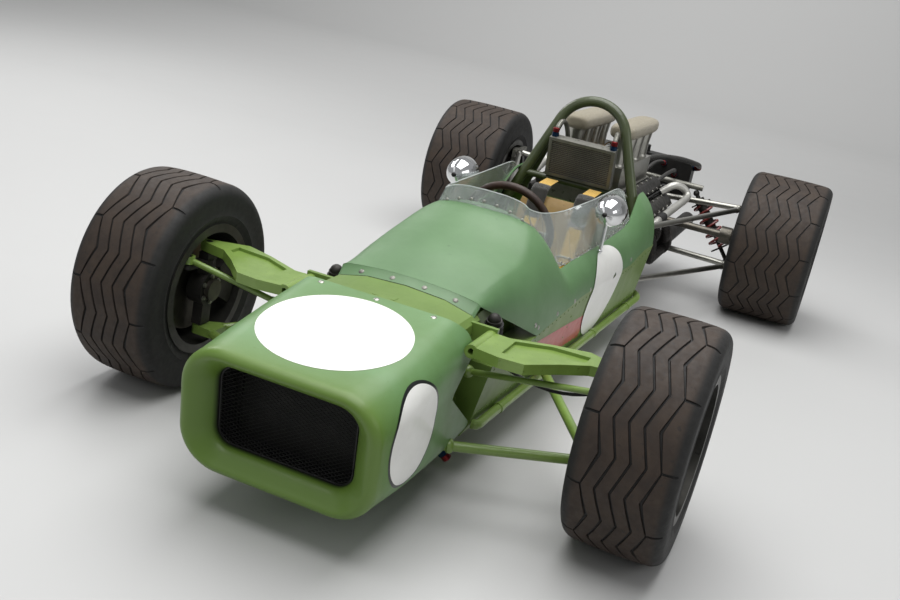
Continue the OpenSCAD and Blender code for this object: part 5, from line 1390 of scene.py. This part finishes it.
# Engine: a gauze cover over each row of trumpets, water pipes along the banks, fuel lines in the valley, cover bolts,
# and plug leads that run back along each bank to a cap
engine = {
    "columns": (-1687.3, -1819.3, -1951.3, -2083.3), "row": 90.0,
    "cover": {"centre": -1885.3, "length": 252.0, "half": (51.5, 31.0), "height": 736.0, "steps": (49, 40)},
    "pipe": [(-1668, 236, 408), (-1684, 262, 408), (-1720, 281, 418), (-1760, 287, 428), (-1880, 297, 442),
             (-1990, 306, 454), (-2095, 315, 466), (-2148, 316, 480), (-2150, 290, 506), (-2122, 255, 512),
             (-2100, 212, 476)],
    "pipeRadius": 0.0155, "pipeJoint": (18, 22), "sleeve": 0.0185,
    # fuel rail, and the lines from it to a trumpet's foot, x from the trumpet's column
    "rail": [(-1655, 0, 602), (-1900, 0, 602), (-2130, 0, 602)], "railRadius": 0.011,
    "fuel": [(8, 10, 604), (8, 20, 622), (6, 44, 628), (0, 64, 606), (0, 74, 588)], "fuelRadius": 0.0026,
    # the banks' inner edge, and bolts in places along and down the bank
    "bank": (132.0, 516.0), "span": (-2146.0, -1652.0), "boltsAlong": 7, "boltRows": (16.0, 64.0, 100.0, 148.0),
    "boltRise": 27.4, "bolt": (0.0048, 0.0055),
    # leads: plugs' place down the bank and height, steps aft, lane and height of the first and what the next add
    "lead": 0.0065, "plug": 82.0, "plugRise": (3.0, 12.0), "aft": (3.0, 14.0, 32.0), "lane": (78.0, 8.0),
    "rise": (20.0, 9.0), "bow": 1.0, "cap": -2150.0, "capHeight": 24.0, "capBack": 2.0,
    "boot": [(0.0035, -0.004), (0.008, -0.003), (0.008, 0.008), (0.005, 0.016), (0.0035, 0.018)],
    "capProfile": [(0.002, 0.0), (0.021, 0.0), (0.024, 0.006), (0.024, 0.026), (0.018, 0.032), (0.002, 0.034)],
}


# A bank's plane slopes down by 45 degrees from its inner edge: y runs down it, z square to it
def bankPlace(s, x, y, z, sign):
    c = math.sqrt(0.5)
    return at((x, sign * (s["bank"][0] + c * (y + z)), s["bank"][1] + c * (z - y)))


# Cover: rings of |y/a|^(2/0.7) + |z/b|^(2/0.7) = k, with k^6 + (x/L)^6 = 1 along its length
def trumpetCover(c, row):
    x = np.sin(np.linspace(-1, 1, c["steps"][0]) * math.pi / 2) * 0.9998
    k = ((1 - x ** 6) ** (1 / 6))[:, None]
    a = roundAngles(c["steps"][1])
    y, z = (signedPower(w, 0.7) * half for w, half in zip((np.cos(a), np.sin(a)), c["half"]))
    along = np.repeat((c["centre"] + c["length"] * x)[:, None], len(a), 1)
    points = np.stack([along, row + k * y[None], c["height"] + k * z[None]], 2)
    return at(points.reshape(-1, 3)), ringFaces(*c["steps"])


def addEngine(s):
    covers, pipes, bolts, ways, caps = [], [], [], [], []
    lines = [tube(at(s["rail"]), s["railRadius"], 14)]
    for side, sign in sides:
        covers.append(trumpetCover(s["cover"], sign * s["row"]))
        path = smoothRoute(at(onSide(s["pipe"], sign)), 6)
        pipes.append(tube(path, s["pipeRadius"], 16))
        caps.append(tube(path[slice(*s["pipeJoint"])], s["sleeve"], 16))
        for x in s["columns"]:
            line = onSide(s["fuel"], sign) + [x, 0, 0]
            lines.append(tube(smoothRoute(at(line), 5), s["fuelRadius"], 8))
        for y in s["boltRows"]:
            for x in np.linspace(*s["span"], s["boltsAlong"]):
                bolts.append(bankPlace(s, x, y, s["boltRise"], sign))
                ways.append((0, sign * math.sqrt(0.5), math.sqrt(0.5)))
        for k, x in enumerate(s["columns"]):
            lane = s["lane"][0] + s["lane"][1] * (k // 2)
            rise = s["rise"][0] + s["rise"][1] * (k % 2)
            near, turn, run = (x - step for step in s["aft"])
            top = rise + s["bow"]
            route = [(x, s["plug"], s["plugRise"][0]), (near, s["plug"], s["plugRise"][1]), (turn, lane, rise),
                     (run, lane, top), ((run + s["cap"]) / 2, lane, top), (s["cap"], lane, rise)]
            path = smoothRoute([bankPlace(s, *p, sign) for p in route], 7)
            lead = addPiece("plugLead" + side.title() + str(k), *tube(path, s["lead"] / 2, 8), mats["rubber"])
            caps.append(lathe(s["boot"], path[0], path[2] - path[0], 12))
        end = bankPlace(s, s["cap"] - s["capBack"], s["plug"], s["capHeight"], sign)
        caps.append(lathe(s["capProfile"], end, (-1, 0, 0), 20))
    addPiece("trumpetCovers", *joined(covers), mats["gauze"])
    addPiece("waterPipes", *joined(pipes), mats["pipeAlloy"])
    addPiece("fuelLines", *joined(lines), mats["brass"])
    addPiece("coverBolts", *hexHeads(bolts, ways, *s["bolt"]), mats["steel"], smooth=False)
    addPiece("leadCaps", *joined(caps), mats["rubber"])


addEngine(engine)

# Front dampers: rubber bellows over the inboard units, their radius r + d cos(2 pi n h)
boots = {
    "top": (-70, 226, 424), "foot": (-96, 226, 342), "waves": 7, "steps": 57,
    "radius": 0.0225, "deep": 0.0024, "neck": 0.012, "ends": (-0.004, -0.012),
}


def addBoots(s):
    parts = []
    for _, sign in sides:
        foot, top = at(onSide(s["foot"], sign)), at(onSide(s["top"], sign))
        h = np.linspace(s["ends"][0], float(np.linalg.norm(top - foot)) + s["ends"][1], s["steps"])
        r = s["radius"] + s["deep"] * np.cos(np.linspace(0, 2 * math.pi * s["waves"], s["steps"]))
        profile = [(s["neck"], h[0])] + list(zip(r, h)) + [(s["neck"], h[-1])]
        parts.append(lathe(profile, foot, top - foot, 24))
    addPiece("damperBoots", *joined(parts), mats["rubber"])


addBoots(boots)

# Hubs: a ring of bolts on each carrier. Columns: name, centre, ring's radius, count, on a knuckle or not
hubs = {
    "rings": [
        ("carrierBolts", (0, 554.6, 290), 36.0, 6, True),
        ("rearCarrierBolts", (-2400, 519.6, 308), 46.0, 8, False),
    ],
    "bolt": (0.0055, 0.006),
}


def addHubs(s):
    for side, sign in sides:
        for name, centre, ring, count, steered in s["rings"]:
            a = 2 * math.pi * (np.arange(count) + 0.5) / count
            spots = at(onSide(centre, sign) + ring * np.stack([np.cos(a), 0 * a, np.sin(a)], 1))
            bolts = hexHeads(spots, [(0, -sign, 0)] * count, *s["bolt"])
            body = "knuckle_" + side if steered else "chassis"
            addPiece(name + side.title(), *bolts, mats["steel"], body, smooth=False)


addHubs(hubs)

# Oil hoses between the tank, the engine and the gear case, each with a hexagon and a collar at both ends
rearHoses = {
    "radii": {"tank": 0.0085, "case": 0.0085, "return": 0.012},
    "routes": {
        "tank": [(-2609.4, 170, 480), (-2580, 171, 484), (-2500, 182, 512), (-2400, 192, 528), (-2290, 182, 520),
                 (-2205, 160, 486), (-2170.8, 150, 470)],
        "case": [(-2330, 60, 385.4), (-2332, 61, 420), (-2362, 72, 486), (-2440, 92, 530), (-2530, 106, 534),
                 (-2585, 110, 522), (-2609.4, 111, 516)],
        "return": [(-2170.8, 60, 500), (-2206, 61, 514), (-2262, 72, 552), (-2350, 110, 575), (-2480, 190, 572),
                   (-2580, 258, 552), (-2630, 264, 536), (-2650, 242, 525)],
    },
    # radius as a multiple of the hose's, height in metres
    "hex": [(1.01, 0.0005), (1.59, 0.0005), (1.59, 0.014), (1.01, 0.015)],
    "collar": [(1.01, 0.0155), (1.43, 0.0155), (1.43, 0.029), (1.01, 0.032)],
    # a capped union low on the nose's rear: place, direction, radius, and the closed ends of its two pieces
    "low": {"spot": (112, 213.5, 125), "way": (-0.3, 0.62, -0.66), "radius": 0.0085,
            "foot": (0.4, -0.004), "tip": (0.3, 0.034)},
}


def addRearHoses(s):
    reds, blues = [], []

    def union(spot, way, r, hexagon, collar):
        blues.append(lathe([(k * r, h) for k, h in hexagon], spot, way, 6))
        reds.append(lathe([(k * r, h) for k, h in collar], spot, way, 14))

    for name, route in s["routes"].items():
        for side, sign in sides:
            r = s["radii"][name]
            path = smoothRoute(at(onSide(route, sign)), 8)
            piece = addPiece(name + "Hose" + side.title(), *tube(path, r, 12), mats["braid"])
            for spot, way in ((path[0], path[3] - path[0]), (path[-1], path[-4] - path[-1])):
                union(spot, way, r, s["hex"], s["collar"])
    low = s["low"]
    for _, sign in sides:
        union(at(onSide(low["spot"], sign)), onSide(low["way"], sign), low["radius"],
              [low["foot"]] + s["hex"], s["collar"] + [low["tip"]])
    addPiece("rearUnionsRed", *joined(reds), mats["fittingRed"], smooth=False)
    addPiece("rearUnionsBlue", *joined(blues), mats["fittingBlue"], smooth=False)


addRearHoses(rearHoses)
print("stage mechanical detail done")
